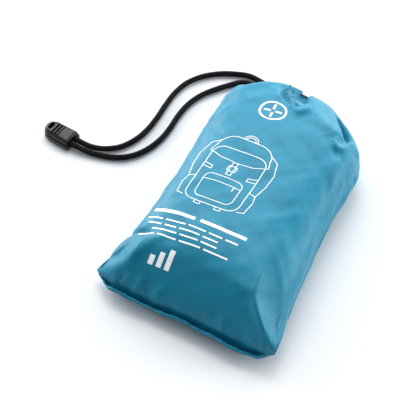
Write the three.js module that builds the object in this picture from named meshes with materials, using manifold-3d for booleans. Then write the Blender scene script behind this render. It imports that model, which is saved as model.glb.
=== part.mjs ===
// A packable backpack, stowed in its drawstring pouch, which lies on its back.
// Millimetres. X runs across the pouch, Y from its sewn base to its mouth, and Z up from the surface it lies on.
// The origin is on that surface, under the middle of the pouch.
import * as THREE from "three";
import { mergeVertices } from "three/addons/utils/BufferGeometryUtils.js";
import Module from "manifold-3d";

const wasm = await Module();
wasm.setup();

// Pouch: length from base seam to mouth rim, width and height where it is fullest, and how thick its cloth is.
const POUCH_LENGTH = 162;
const POUCH_WIDTH = 91;
const POUCH_HEIGHT = 38;
const CLOTH_WALL = 1.1;
const HOLLOW_START = 0.022;
const EAR_BEND = 0.02;
const SECTION_SIDES = 64;
const SECTION_STATIONS = 28;

// Mouth: half sizes of the loop that the drawcord takes, its middle's height as a share of the pouch's, how far that
// middle lies to the side, and how the loop turns about Z.
const MOUTH_HALF_WIDTH = 20;
const MOUTH_HALF_HEIGHT = 8.5;
const MOUTH_RISE = 0.345;
const MOUTH_X = -2;
const MOUTH_TURN = -0.2;

// Drawcord, and the hem channel that it runs in.
const CORD_DIAMETER = 3.8;
const CORD_SIDES = 8;
const CORD_CLEARANCE = 0.35;
const HEM_WALL = 1.1;
const GATHER_DEPTH = 0.45;
const GATHER_LENGTH = 8;
const HEM_STEP = 2.1;
const HEM_OVERRUN = 0.02;
const SEAT_GAP = 0.3;

// Folded backpack inside: its clearance from the cloth, and where it starts and stops along the pouch.
const BUNDLE_CLEARANCE = 0.8;
const BUNDLE_START = 0.06;
const BUNDLE_END = 0.925;
const BUNDLE_STATIONS = 16;
const BUNDLE_SIDES = 32;

// Cord end: two moulded shells closed over the cord's two ends. Its walls are outside the pocket for the cords.
const END_LENGTH = 20;
const END_SIDE_WALL = 1.7;
const END_FACE_WALL = 1.25;
const END_NOSE_SHARE = 0.92;
const END_BEVEL = 1.1;
const END_PARTING = 0.3;
const END_POCKET_DEPTH = 6;
const COVER_SETBACK = 1.6;
const SLOT_LENGTH = 4.6;
const SLOT_WIDTH = 2.2;
const SLOT_FROM_NOSE = 2.8;
const RIB_COUNT = 3;
const RIB_PITCH = 2.1;
const RIB_WIDTH = 0.9;
const RIB_HEIGHT = 0.5;
const RIB_LENGTH = 8;
const END_TURN = -0.2;

const halfWidth = POUCH_WIDTH / 2;
const cordRadius = CORD_DIAMETER / 2;
const channelRadius = cordRadius + CORD_CLEARANCE;
const hemRadius = channelRadius + HEM_WALL;
const seamThickness = 2 * CLOTH_WALL;
const baseY = -0.506 * POUCH_LENGTH;
const mouthZ = MOUTH_RISE * POUCH_HEIGHT;
const pocketHalf = CORD_DIAMETER + SEAT_GAP / 2 + CORD_CLEARANCE;
const endWidth = 2 * (pocketHalf + END_SIDE_WALL);
const endHeight = 2 * (channelRadius + END_FACE_WALL);

// Sections of the pouch, from its base seam to its mouth rim. along is a share of the length; left and right are
// shares of half the width; top, bottom and side (the height of the widest line) are shares of the height. crown is
// how boxy the section is, tip how sharp its two sides are, and skew the section's turn about Z. mouth is how far the
// section has drawn in to the mouth's own size and place.
const COLUMNS = ["along", "left", "right", "top", "bottom", "side", "crown", "tip", "skew", "mouth"];
const ROWS = [
  [0.0, 1.37, 1.07, 0.0, 0.0, 0.265, 6.0, 0.3, -0.085, 0.0],
  [0.02, 1.35, 1.07, 0.375, 0.15, 0.27, 3.2, 0.75, -0.1, 0.0],
  [0.05, 1.3, 1.07, 0.54, 0.07, 0.29, 3.0, 0.7, -0.13, 0.0],
  [0.09, 1.245, 1.06, 0.72, 0.02, 0.32, 2.9, 0.58, -0.16, 0.0],
  [0.14, 1.19, 1.045, 0.88, -0.02, 0.36, 2.8, 0.46, -0.18, 0.0],
  [0.2, 1.125, 1.03, 0.96, -0.04, 0.39, 2.8, 0.38, -0.16, 0.0],
  [0.27, 1.08, 1.01, 0.99, -0.05, 0.4, 2.8, 0.35, -0.1, 0.0],
  [0.4, 1.06, 0.99, 1.0, -0.05, 0.4, 2.8, 0.34, -0.04, 0.0],
  [0.55, 1.06, 0.99, 1.0, -0.05, 0.4, 2.8, 0.34, 0.0, 0.0],
  [0.68, 1.06, 1.0, 0.995, -0.05, 0.4, 2.8, 0.34, 0.0, 0.0],
  [0.78, 1.04, 1.005, 0.975, -0.04, 0.4, 2.8, 0.34, -0.02, 0.0],
  [0.86, 1.0, 0.98, 0.935, -0.03, 0.4, 2.8, 0.36, -0.08, 0.0],
  [0.915, 1.044, 1.003, 0.935, -0.021, 0.41, 2.8, 0.37, -0.118, 0.15],
  [0.955, 1.085, 1.021, 0.935, 0.005, 0.409, 2.8, 0.39, -0.186, 0.3],
  [0.98, 1.149, 1.039, 0.962, 0.039, 0.405, 2.9, 0.42, -0.26, 0.5],
  [0.993, 1.248, 1.048, 1.015, 0.057, 0.405, 3.2, 0.46, -0.32, 0.75],
  [1.0, 1.248, 1.048, 1.015, 0.057, 0.405, 4.0, 0.5, -0.32, 1.0],
];

// Pleats over the mouth's end. place is a share of the way round from the right side over the top; depth is in
// millimetres, width a share of the way round, and reach the share of the length that the pleat runs back.
const PLEAT_COLUMNS = ["place", "depth", "width", "reach"];
const PLEAT_ROWS = [
  [0.016, 1.8, 0.018, 0.1],
  [0.094, 6.0, 0.018, 0.17],
  [0.188, 1.8, 0.018, 0.08],
  [0.281, 7.0, 0.016, 0.13],
  [0.344, 1.6, 0.018, 0.1],
  [0.422, 2.0, 0.018, 0.12],
  [0.516, 1.8, 0.018, 0.1],
  [0.625, 2.4, 0.018, 0.12],
  [0.719, 1.8, 0.018, 0.08],
  [0.797, 2.4, 0.018, 0.12],
  [0.906, 2.2, 0.018, 0.1],
];

// The free drawcord's two strands, from the hem's left gap to the cord end: routes chosen by hand, as X, Y and the
// gap between the strand and the surface. Each one starts where the loop round the mouth stops, at these shares of a
// turn.
const STRAND_A_TURN = 0.425;
const STRAND_B_TURN = 0.6;
const STRAND_LEAD = 3;
const STRAND_A = [
  [-24.4, 89.6, 13.1],
  [-26.2, 93.6, 9.1],
  [-28.6, 97.4, 4.5],
  [-32.2, 101.2, 1.3],
  [-37.8, 104.0, 0.1],
  [-45.7, 105.3, 0.1],
  [-55.5, 102.9, 0.1],
  [-63.6, 99.2, 0.1],
  [-71.6, 93.0, 0.1],
  [-77.8, 84.2, 0.1],
  [-80.8, 73.8, 0.1],
  [-81.7, 63.1, 0.1],
  [-82.0, 51.3, 0.1],
  [-83.2, 40.4, 0.1],
  [-86.2, 30.5, 0.1],
  [-92.1, 21.4, 0.1],
  [-100.3, 16.2, 0.2],
  [-107.4, 14.4, 0.6],
  [-112.6, 14.4, 1.3],
];
const STRAND_B = [
  [-24.5, 88.6, 8.5],
  [-29.0, 91.6, 5.9],
  [-33.0, 94.6, 2.7],
  [-37.0, 97.8, 0.5],
  [-42.2, 99.6, 0.1],
  [-48.1, 98.1, 0.1],
  [-53.6, 93.2, 0.1],
  [-58.8, 87.6, 0.1],
  [-65.4, 78.9, 0.1],
  [-69.6, 68.7, 0.1],
  [-71.3, 57.3, 0.1],
  [-71.5, 47.2, 0.1],
  [-72.6, 38.0, 0.1],
  [-75.2, 29.4, 0.1],
  [-79.6, 21.6, 0.1],
  [-85.6, 15.8, 0.1],
  [-92.9, 12.4, 0.1],
  [-100.4, 10.9, 0.2],
  [-107.4, 10.2, 0.6],
  [-113.0, 10.3, 1.3],
];
const CORD_END_AT = [-118.3, 13.2];

const lerp = THREE.MathUtils.lerp;

function named(columns, rows) {
  return rows.map((row) => Object.fromEntries(columns.map((name, i) => [name, row[i]])));
}
const SECTIONS = named(COLUMNS, ROWS);
const PLEATS = named(PLEAT_COLUMNS, PLEAT_ROWS);

// One column of the sections at a share of the length, on a smooth curve that doesn't overshoot its rows.
function column(name, along) {
  const last = SECTIONS.length - 2;
  let i = SECTIONS.findIndex((row, k) => k <= last && along <= SECTIONS[k + 1].along);
  i = i < 0 ? last : i;
  const at = (k) => SECTIONS[Math.min(Math.max(k, 0), last + 1)];
  const slope = (k) => {
    const before = at(k)[name] - at(k - 1)[name];
    const after = at(k + 1)[name] - at(k)[name];
    if (before * after <= 0) return 0;
    const rise = before / (at(k).along - at(k - 1).along);
    const next = after / (at(k + 1).along - at(k).along);
    return (2 * rise * next) / (rise + next);
  };
  const span = at(i + 1).along - at(i).along;
  const t = THREE.MathUtils.clamp((along - at(i).along) / span, 0, 1);
  const a = at(i)[name];
  const b = at(i + 1)[name];
  const turn = t * t * (3 - 2 * t);
  return (
    lerp(a, b, turn) + span * (slope(i) * t * (1 - t) * (1 - t) - slope(i + 1) * t * t * (1 - t))
  );
}

// How far the pleats draw the cloth in, at a share of the way round and of the length.
function pleatDepth(around, along) {
  return PLEATS.reduce((sum, pleat) => {
    const off = Math.abs(around - pleat.place);
    const nearest = Math.min(off, 1 - off);
    const run = THREE.MathUtils.smoothstep(along, 1 - pleat.reach, 1);
    return sum + pleat.depth * run * Math.exp(-((nearest / pleat.width) ** 2));
  }, 0);
}

// A point of the pouch's cloth. around runs from 0 at the right side over the top to 0.5 at the left side and back
// underneath; inset moves it in from the outer face.
function clothPoint(around, along, inset = 0) {
  const get = (name) => column(name, along);
  const smooth = THREE.MathUtils.smoothstep;
  const over = around <= 0.5;
  const across = Math.cos(2 * Math.PI * around);
  const mouth = get("mouth");
  const reach = lerp(get(across > 0 ? "right" : "left") * halfWidth, MOUTH_HALF_WIDTH + SEAT_GAP, mouth);
  const side = lerp(get("side") * POUCH_HEIGHT, mouthZ, mouth);
  const seam = Math.max(0, 1 - along / SECTIONS[1].along) ** 2;
  const half = (over ? 1 : -1) * (seamThickness / 2);
  const crest = get(over ? "top" : "bottom") * POUCH_HEIGHT;
  const drawnIn = mouthZ + (over ? 1 : -1) * MOUTH_HALF_HEIGHT;
  const edge = lerp(lerp(crest, drawnIn, mouth), side + half, seam);
  const swell = (1 - Math.abs(across) ** get("crown")) ** get("tip");
  const shrink = 1 - pleatDepth(around, along) / Math.hypot(reach, edge - side);
  const x = across * (reach - inset) * shrink;
  const z = side + (edge - side - Math.sign(half) * inset) * swell * shrink;
  const ear = Math.max(0, -x - halfWidth) ** 2 * Math.max(0, 1 - along / 0.2);
  const atEnds = smooth(along, 0.86, 0.97) + smooth(along, 0.03, 0.18) - 1;
  const skew = lerp(get("skew"), MOUTH_TURN, mouth);
  const y = baseY + POUCH_LENGTH * along + skew * x + EAR_BEND * ear - inset * atEnds;
  return new THREE.Vector3(x + MOUTH_X * smooth(along, 0.8, 1), y, Math.max(z, inset));
}

// A closed solid through rings of points, with a fan at both ends. Each ring runs clockwise, seen from behind.
function loft(rings) {
  const count = rings[0].length;
  const positions = [];
  const index = [];
  rings.forEach((ring) => ring.forEach((p) => positions.push(p.x, p.y, p.z)));
  for (let r = 0; r + 1 < rings.length; r++) {
    for (let i = 0; i < count; i++) {
      const a = r * count + i;
      const b = r * count + ((i + 1) % count);
      index.push(a, b + count, b, a, a + count, b + count);
    }
  }
  [0, rings.length - 1].forEach((r) => {
    const middle = rings[r].reduce((sum, p) => sum.add(p), new THREE.Vector3()).divideScalar(count);
    const hub = positions.length / 3;
    positions.push(middle.x, middle.y, middle.z);
    for (let i = 0; i < count; i++) {
      const a = r * count + i;
      const b = r * count + ((i + 1) % count);
      index.push(...(r === 0 ? [hub, a, b] : [hub, b, a]));
    }
  });
  const geometry = new THREE.BufferGeometry();
  geometry.setAttribute("position", new THREE.Float32BufferAttribute(positions, 3));
  geometry.setIndex(index);
  return geometry;
}

function solidOf(geometry) {
  const bare = geometry.clone();
  bare.deleteAttribute("normal");
  bare.deleteAttribute("uv");
  const merged = mergeVertices(bare, 1e-3);
  const made = new wasm.Manifold(
    new wasm.Mesh({
      numProp: 3,
      vertProperties: merged.attributes.position.array,
      triVerts: new Uint32Array(merged.index.array),
    }),
  );
  return made;
}

function geometryOf(solid) {
  const mesh = solid.getMesh();
  const geometry = new THREE.BufferGeometry();
  geometry.setAttribute("position", new THREE.Float32BufferAttribute(mesh.vertProperties, 3));
  geometry.setIndex(new THREE.BufferAttribute(mesh.triVerts, 1));
  geometry.computeVertexNormals();
  return geometry;
}

// Rings of the cloth between two shares of the length, closer together where the pouch closes at its two ends.
function clothRings(from, to, stations, sides, inset) {
  return Array.from({ length: stations + 1 }, (_, s) => {
    const even = s / stations;
    const along = lerp(from, to, even - (0.85 * Math.sin(2 * Math.PI * even)) / (2 * Math.PI));
    return Array.from({ length: sides }, (_, i) => clothPoint(i / sides, along, inset));
  });
}

function pouchBody(material) {
  const outer = solidOf(loft(clothRings(0, 1, SECTION_STATIONS, SECTION_SIDES, 0)));
  const hollow = clothRings(HOLLOW_START, 1, SECTION_STATIONS - 4, SECTION_SIDES, CLOTH_WALL);
  const rim = hollow[hollow.length - 1];
  hollow.push(rim.map((p) => p.clone().add(new THREE.Vector3(0, 4, 0))));
  return mesh("pouch_body", geometryOf(outer.subtract(solidOf(loft(hollow)))), material);
}

function foldedBackpack(material) {
  const inset = CLOTH_WALL + BUNDLE_CLEARANCE;
  const rings = clothRings(BUNDLE_START, BUNDLE_END, BUNDLE_STATIONS, BUNDLE_SIDES, inset);
  return mesh("folded_backpack", loft(rings), material);
}

// The drawcord's loop round the mouth. turn is in full turns from the right side over the top.
function mouthPoint(turn) {
  const across = Math.cos(2 * Math.PI * turn);
  const rise = Math.sign(Math.sin(2 * Math.PI * turn)) * Math.sqrt(1 - across ** 4);
  const x = across * MOUTH_HALF_WIDTH;
  const z = rise * MOUTH_HALF_HEIGHT;
  const seat = baseY + POUCH_LENGTH + hemRadius + GATHER_DEPTH + SEAT_GAP;
  return new THREE.Vector3(MOUTH_X + x, seat + MOUTH_TURN * x, mouthZ + z);
}

// A stretch of that loop as a smooth curve whose parameter is even in length.
function mouthPath(from, to) {
  const points = Array.from({ length: 41 }, (_, i) => mouthPoint(lerp(from, to, i / 40)));
  return new THREE.CatmullRomCurve3(points, false, "centripetal");
}

function roundSection(radius, sides) {
  const section = new THREE.Shape();
  Array.from({ length: sides }, (_, i) => (2 * Math.PI * i) / sides).forEach((angle, i) => {
    const put = i ? "lineTo" : "moveTo";
    section[put](radius * Math.cos(angle), radius * Math.sin(angle));
  });
  return section;
}

function tube(path, radius, sides, step) {
  const steps = Math.max(2, Math.round(path.getLength() / step));
  return new THREE.ExtrudeGeometry(roundSection(radius, sides), {
    steps,
    extrudePath: path,
    bevelEnabled: false,
  });
}

// The hem's tunnel: cloth gathered round the cord, so its outside swells and draws in along its length.
function hemChannel(name, from, to, material) {
  const path = mouthPath(from, to);
  const steps = Math.round(path.getLength() / HEM_STEP);
  const frames = path.computeFrenetFrames(steps, false);
  const gathers = Math.max(1, Math.round(path.getLength() / GATHER_LENGTH));
  const rings = Array.from({ length: steps + 1 }, (_, s) => {
    const middle = path.getPointAt(s / steps);
    const radius = hemRadius - GATHER_DEPTH * Math.cos((2 * Math.PI * gathers * s) / steps);
    return Array.from({ length: CORD_SIDES }, (_, i) => {
      const angle = (-2 * Math.PI * i) / CORD_SIDES;
      return middle
        .clone()
        .addScaledVector(frames.normals[s], radius * Math.cos(angle))
        .addScaledVector(frames.binormals[s], radius * Math.sin(angle));
    });
  });
  const bore = tube(mouthPath(from - HEM_OVERRUN, to + HEM_OVERRUN), channelRadius, CORD_SIDES, HEM_STEP);
  return mesh(name, geometryOf(solidOf(loft(rings)).subtract(solidOf(bore))), material);
}

// A strand goes on from the loop in the loop's own direction, follows its route and ends inside the cord end.
function strand(name, turn, route, side, material) {
  const end = mouthPoint(turn);
  const ahead = mouthPoint(lerp(turn, 0.5, 0.05)).sub(end).normalize();
  const lead = [SEAT_GAP, STRAND_LEAD].map((reach) => end.clone().addScaledVector(ahead, reach));
  const lain = route.map(([x, y, lift]) => new THREE.Vector3(x, y, lift + cordRadius));
  const points = [...lead, ...lain, ...cordEntry(side)];
  const path = new THREE.CatmullRomCurve3(points, false, "centripetal");
  return mesh(name, tube(path, cordRadius, CORD_SIDES, 2.4 * CORD_DIAMETER), material);
}

// Where a strand enters the cord end, beside the other one, and where it stops inside.
function cordEntry(side) {
  const along = new THREE.Vector2(Math.cos(END_TURN), Math.sin(END_TURN));
  const beside = new THREE.Vector2(-along.y, along.x).multiplyScalar((side * (CORD_DIAMETER + SEAT_GAP)) / 2);
  return [0.5, -END_POCKET_DEPTH + CORD_CLEARANCE].map(
    (reach) =>
      new THREE.Vector3(
        CORD_END_AT[0] + along.x * reach + beside.x,
        CORD_END_AT[1] + along.y * reach + beside.y,
        endHeight / 2,
      ),
  );
}

// The cord end's outline: square at the cords' side (x = 0) and round at the nose.
function endOutline() {
  const open = endWidth / 2 - END_BEVEL;
  const nose = (END_NOSE_SHARE * endWidth) / 2 - END_BEVEL;
  const back = -END_LENGTH + END_BEVEL;
  const outline = new THREE.Shape();
  outline.moveTo(-END_BEVEL, -open);
  outline.lineTo(-END_BEVEL, open);
  outline.lineTo(back + nose, nose);
  outline.absarc(back + nose, 0, nose, Math.PI / 2, (3 * Math.PI) / 2, false);
  outline.closePath();
  return outline;
}

function box(low, high) {
  const size = new THREE.Vector3().subVectors(high, low);
  const middle = new THREE.Vector3().addVectors(low, high).multiplyScalar(0.5);
  return solidOf(new THREE.BoxGeometry(size.x, size.y, size.z).translate(middle.x, middle.y, middle.z));
}

function cordEnd(material) {
  const whole = solidOf(
    new THREE.ExtrudeGeometry(endOutline(), {
      depth: endHeight - 2 * END_BEVEL,
      bevelSize: END_BEVEL,
      bevelThickness: END_BEVEL,
      bevelSegments: 2,
      curveSegments: 8,
    }).translate(0, 0, END_BEVEL),
  );
  const pocket = box(
    new THREE.Vector3(-END_POCKET_DEPTH, -pocketHalf, endHeight / 2 - channelRadius),
    new THREE.Vector3(1, pocketHalf, endHeight / 2 + channelRadius),
  );
  const slotFar = -END_LENGTH + SLOT_FROM_NOSE;
  const slot = box(
    new THREE.Vector3(slotFar, -SLOT_LENGTH / 2, -1),
    new THREE.Vector3(slotFar + SLOT_WIDTH, SLOT_LENGTH / 2, endHeight + 1),
  );
  const hollowed = whole.subtract(pocket).subtract(slot);
  const ribs = Array.from({ length: RIB_COUNT }, (_, i) => {
    const far = slotFar + SLOT_WIDTH + RIB_WIDTH + i * RIB_PITCH;
    return box(
      new THREE.Vector3(far, -RIB_LENGTH / 2, endHeight - RIB_HEIGHT),
      new THREE.Vector3(far + RIB_WIDTH, RIB_LENGTH / 2, endHeight + RIB_HEIGHT),
    );
  });
  const middle = endHeight / 2;
  const lowerHalf = box(
    new THREE.Vector3(-2 * END_LENGTH, -endWidth, -endHeight),
    new THREE.Vector3(END_LENGTH, endWidth, middle - END_PARTING / 2),
  );
  const upperHalf = box(
    new THREE.Vector3(-2 * END_LENGTH, -endWidth, middle + END_PARTING / 2),
    new THREE.Vector3(-COVER_SETBACK, endWidth, 2 * endHeight),
  );
  const upper = ribs.reduce((sum, rib) => sum.add(rib), hollowed.intersect(upperHalf));
  const group = new THREE.Group();
  group.add(mesh("cord_end_cover", geometryOf(upper), material));
  group.add(mesh("cord_end_base", geometryOf(hollowed.intersect(lowerHalf)), material));
  group.position.set(CORD_END_AT[0], CORD_END_AT[1], 0);
  group.rotation.z = END_TURN;
  return group;
}

function mesh(name, geometry, material) {
  const made = new THREE.Mesh(geometry, material);
  made.name = name;
  return made;
}

const teal = new THREE.MeshStandardMaterial({ color: 0x3a9cc0, roughness: 0.55, metalness: 0 });
const deepTeal = new THREE.MeshStandardMaterial({ color: 0x2f87a8, roughness: 0.6, metalness: 0 });
const blackCord = new THREE.MeshStandardMaterial({ color: 0x17181a, roughness: 0.8, metalness: 0 });
const blackPlastic = new THREE.MeshStandardMaterial({ color: 0x2b2e30, roughness: 0.45, metalness: 0 });

const pouch = new THREE.Group();
pouch.add(pouchBody(teal));
pouch.add(foldedBackpack(deepTeal));
pouch.add(hemChannel("hem_channel_front", 0.27, 0.405, teal));
pouch.add(hemChannel("hem_channel_back", 0.62, 1.235, teal));
pouch.add(mesh("drawcord_loop", tube(mouthPath(STRAND_B_TURN, 1 + STRAND_A_TURN), cordRadius, CORD_SIDES, HEM_STEP * 1.5), blackCord));
pouch.add(strand("drawcord_strand_a", STRAND_A_TURN, STRAND_A, 1, blackCord));
pouch.add(strand("drawcord_strand_b", STRAND_B_TURN, STRAND_B, -1, blackCord));
pouch.add(cordEnd(blackPlastic));

export default pouch;
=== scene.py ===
import math

import bmesh
import bpy
import numpy as np
from mathutils import Matrix, Vector
from mathutils.bvhtree import BVHTree


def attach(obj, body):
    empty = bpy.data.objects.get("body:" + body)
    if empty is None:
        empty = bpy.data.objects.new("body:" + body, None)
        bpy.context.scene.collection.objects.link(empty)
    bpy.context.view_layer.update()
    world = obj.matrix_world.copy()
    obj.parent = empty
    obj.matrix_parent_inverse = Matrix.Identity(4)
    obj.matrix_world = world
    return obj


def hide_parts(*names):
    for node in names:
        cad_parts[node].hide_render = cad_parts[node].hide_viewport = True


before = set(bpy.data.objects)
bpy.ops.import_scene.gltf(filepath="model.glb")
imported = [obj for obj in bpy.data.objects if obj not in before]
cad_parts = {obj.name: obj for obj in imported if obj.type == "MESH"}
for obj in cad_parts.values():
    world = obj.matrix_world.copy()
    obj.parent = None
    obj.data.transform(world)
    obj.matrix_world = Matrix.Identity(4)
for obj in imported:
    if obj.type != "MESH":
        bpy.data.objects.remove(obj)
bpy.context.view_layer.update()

bl_info = {
    "name": "Packed Drawstring Pouch",
    "version": (1, 0, 0),
    "blender": (4, 5, 0),
    "location": "3D View > Sidebar > Pouch",
    "description": "Builds a packed drawstring pouch with its folded backpack, drawcord, cord end and studio stage",
    "category": "Object",
}

MM = 0.001

# --- Sizes that the part's solids share, in millimetres ---

POUCH_LENGTH = 162.0
HALF_WIDTH = 45.5
POUCH_HEIGHT = 38.0
SEAM_HALF = 1.1
EAR_BEND = 0.02
BASE_Y = -0.506 * POUCH_LENGTH
MOUTH_HALF_WIDTH = 20.0
MOUTH_HALF_HEIGHT = 8.5
MOUTH_Z = 0.345 * POUCH_HEIGHT
MOUTH_X = -2.0
MOUTH_TURN = -0.2
HEM_RADIUS = 3.35
GATHER_DEPTH = 0.45
SEAT_GAP = 0.3
BUNDLE_INSET = 1.9
BUNDLE_START, BUNDLE_END = 0.06, 0.925
BUNDLE_SIDES = 96
CORD_DIAMETER = 3.8
END_TURN = -0.2
END_HEIGHT = 7.0
END_POCKET_DEPTH = 6.0
CORD_CLEARANCE = 0.35
CORD_END_AT = (-118.3, 13.2)
END_LENGTH = 20.0
END_SIDE_WALL = 1.7
END_NOSE_SHARE = 0.92
SEAM_STRIP = 0.017
BRAID_BUNDLES = 8
BRAID_PITCH = 10.5
SLOT_NEAR, SLOT_FAR, SLOT_REACH = -14.9, -17.4, 2.55
RIB_COUNT, RIB_START, RIB_PITCH, RIB_REACH = 3, -13.9, 2.1, 4.1
CLOTH_GIRTH = 246.0
CLOTH_LENGTH = 1.02 * POUCH_LENGTH

# How far the seam's strip hangs down at places along X, past its least drop: height, place and width of each sag.
STRIP_DROP = 0.7
STRIP_SAGS = ((1.8, -25.0, 8.0), (0.6, 4.0, 9.0), (1.2, 35.0, 8.0))

# Cross sections of the stuffed cloth at shares of the pouch's length, as shares of half the width or of the height.
SECTION_COLUMNS = ("along", "left", "right", "top", "bottom", "side", "crown", "tip", "skew", "mouth")
SECTIONS = np.array(
    [
        [0.0, 1.37, 1.07, 0.0, 0.0, 0.265, 6.0, 0.3, -0.085, 0.0],
        [0.02, 1.35, 1.07, 0.34, 0.15, 0.27, 3.2, 0.75, -0.1, 0.0],
        [0.05, 1.3, 1.07, 0.54, 0.07, 0.29, 3.0, 0.7, -0.13, 0.0],
        [0.09, 1.245, 1.06, 0.72, 0.02, 0.32, 2.9, 0.58, -0.16, 0.0],
        [0.14, 1.185, 1.045, 0.88, -0.02, 0.36, 2.8, 0.46, -0.18, 0.0],
        [0.2, 1.115, 1.03, 0.96, -0.04, 0.39, 2.8, 0.38, -0.16, 0.0],
        [0.27, 1.08, 1.01, 0.99, -0.05, 0.4, 2.8, 0.35, -0.1, 0.0],
        [0.4, 1.06, 0.99, 1.0, -0.05, 0.4, 2.8, 0.34, -0.04, 0.0],
        [0.55, 1.06, 0.99, 1.0, -0.05, 0.4, 2.8, 0.34, 0.0, 0.0],
        [0.68, 1.06, 1.0, 0.995, -0.05, 0.4, 2.8, 0.34, 0.0, 0.0],
        [0.78, 1.04, 1.005, 0.975, -0.04, 0.4, 2.8, 0.34, -0.02, 0.0],
        [0.86, 1.0, 0.98, 0.935, -0.03, 0.4, 2.8, 0.36, -0.08, 0.0],
        [0.915, 1.044, 1.003, 0.935, -0.021, 0.41, 2.8, 0.37, -0.118, 0.15],
        [0.955, 1.085, 1.021, 0.935, 0.005, 0.409, 2.8, 0.39, -0.186, 0.3],
        [0.98, 1.149, 1.039, 0.962, 0.039, 0.405, 2.9, 0.42, -0.26, 0.5],
        [0.993, 1.248, 1.048, 1.015, 0.057, 0.405, 3.2, 0.46, -0.32, 0.75],
        [1.0, 1.248, 1.048, 1.015, 0.057, 0.405, 4.0, 0.5, -0.32, 1.0],
    ]
)

# Pleats over the mouth's end: place (share of the way round from the right side over the top), depth in
# millimetres, width (share of the way round) and reach (share of the length).
PLEATS = (
    (0.016, 1.8, 0.018, 0.1),
    (0.094, 6.0, 0.018, 0.17),
    (0.188, 1.8, 0.018, 0.08),
    (0.281, 7.0, 0.016, 0.13),
    (0.344, 1.6, 0.018, 0.1),
    (0.422, 2.0, 0.018, 0.12),
    (0.516, 1.8, 0.018, 0.1),
    (0.625, 2.4, 0.018, 0.12),
    (0.719, 1.8, 0.018, 0.08),
    (0.797, 2.4, 0.018, 0.12),
    (0.906, 2.2, 0.018, 0.1),
)

# The drawcord's two strands from the hem's gap to the cord end, as X, Y and the gap under the strand.
STRAND_A_TURN, STRAND_B_TURN, STRAND_LEAD = 0.425, 0.6, 3.0
STRAND_A = (
    (-24.4, 89.6, 13.1), (-26.2, 93.6, 9.1), (-28.6, 97.4, 4.5), (-32.2, 101.2, 1.3), (-37.8, 104.0, 0.1),
    (-45.7, 105.3, 0.1), (-55.5, 102.9, 0.1), (-63.6, 99.2, 0.1), (-71.6, 93.0, 0.1), (-77.8, 84.2, 0.1),
    (-80.8, 73.8, 0.1), (-81.7, 63.1, 0.1), (-82.0, 51.3, 0.1), (-83.2, 40.4, 0.1), (-86.2, 30.5, 0.1),
    (-92.1, 21.4, 0.1), (-100.3, 16.2, 0.2), (-107.4, 14.4, 0.6), (-112.6, 14.4, 1.3),
)
STRAND_B = (
    (-24.5, 88.6, 8.5), (-29.0, 91.6, 5.9), (-33.0, 94.6, 2.7), (-37.0, 97.8, 0.5), (-42.2, 99.6, 0.1),
    (-48.1, 98.1, 0.1), (-53.6, 93.2, 0.1), (-58.8, 87.6, 0.1), (-65.4, 78.9, 0.1), (-69.6, 68.7, 0.1),
    (-71.3, 57.3, 0.1), (-71.5, 47.2, 0.1), (-72.6, 38.0, 0.1), (-75.2, 29.4, 0.1), (-79.6, 21.6, 0.1),
    (-85.6, 15.8, 0.1), (-92.9, 12.4, 0.1), (-100.4, 10.9, 0.2), (-107.4, 10.2, 0.6), (-113.0, 10.3, 1.3),
)

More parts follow.
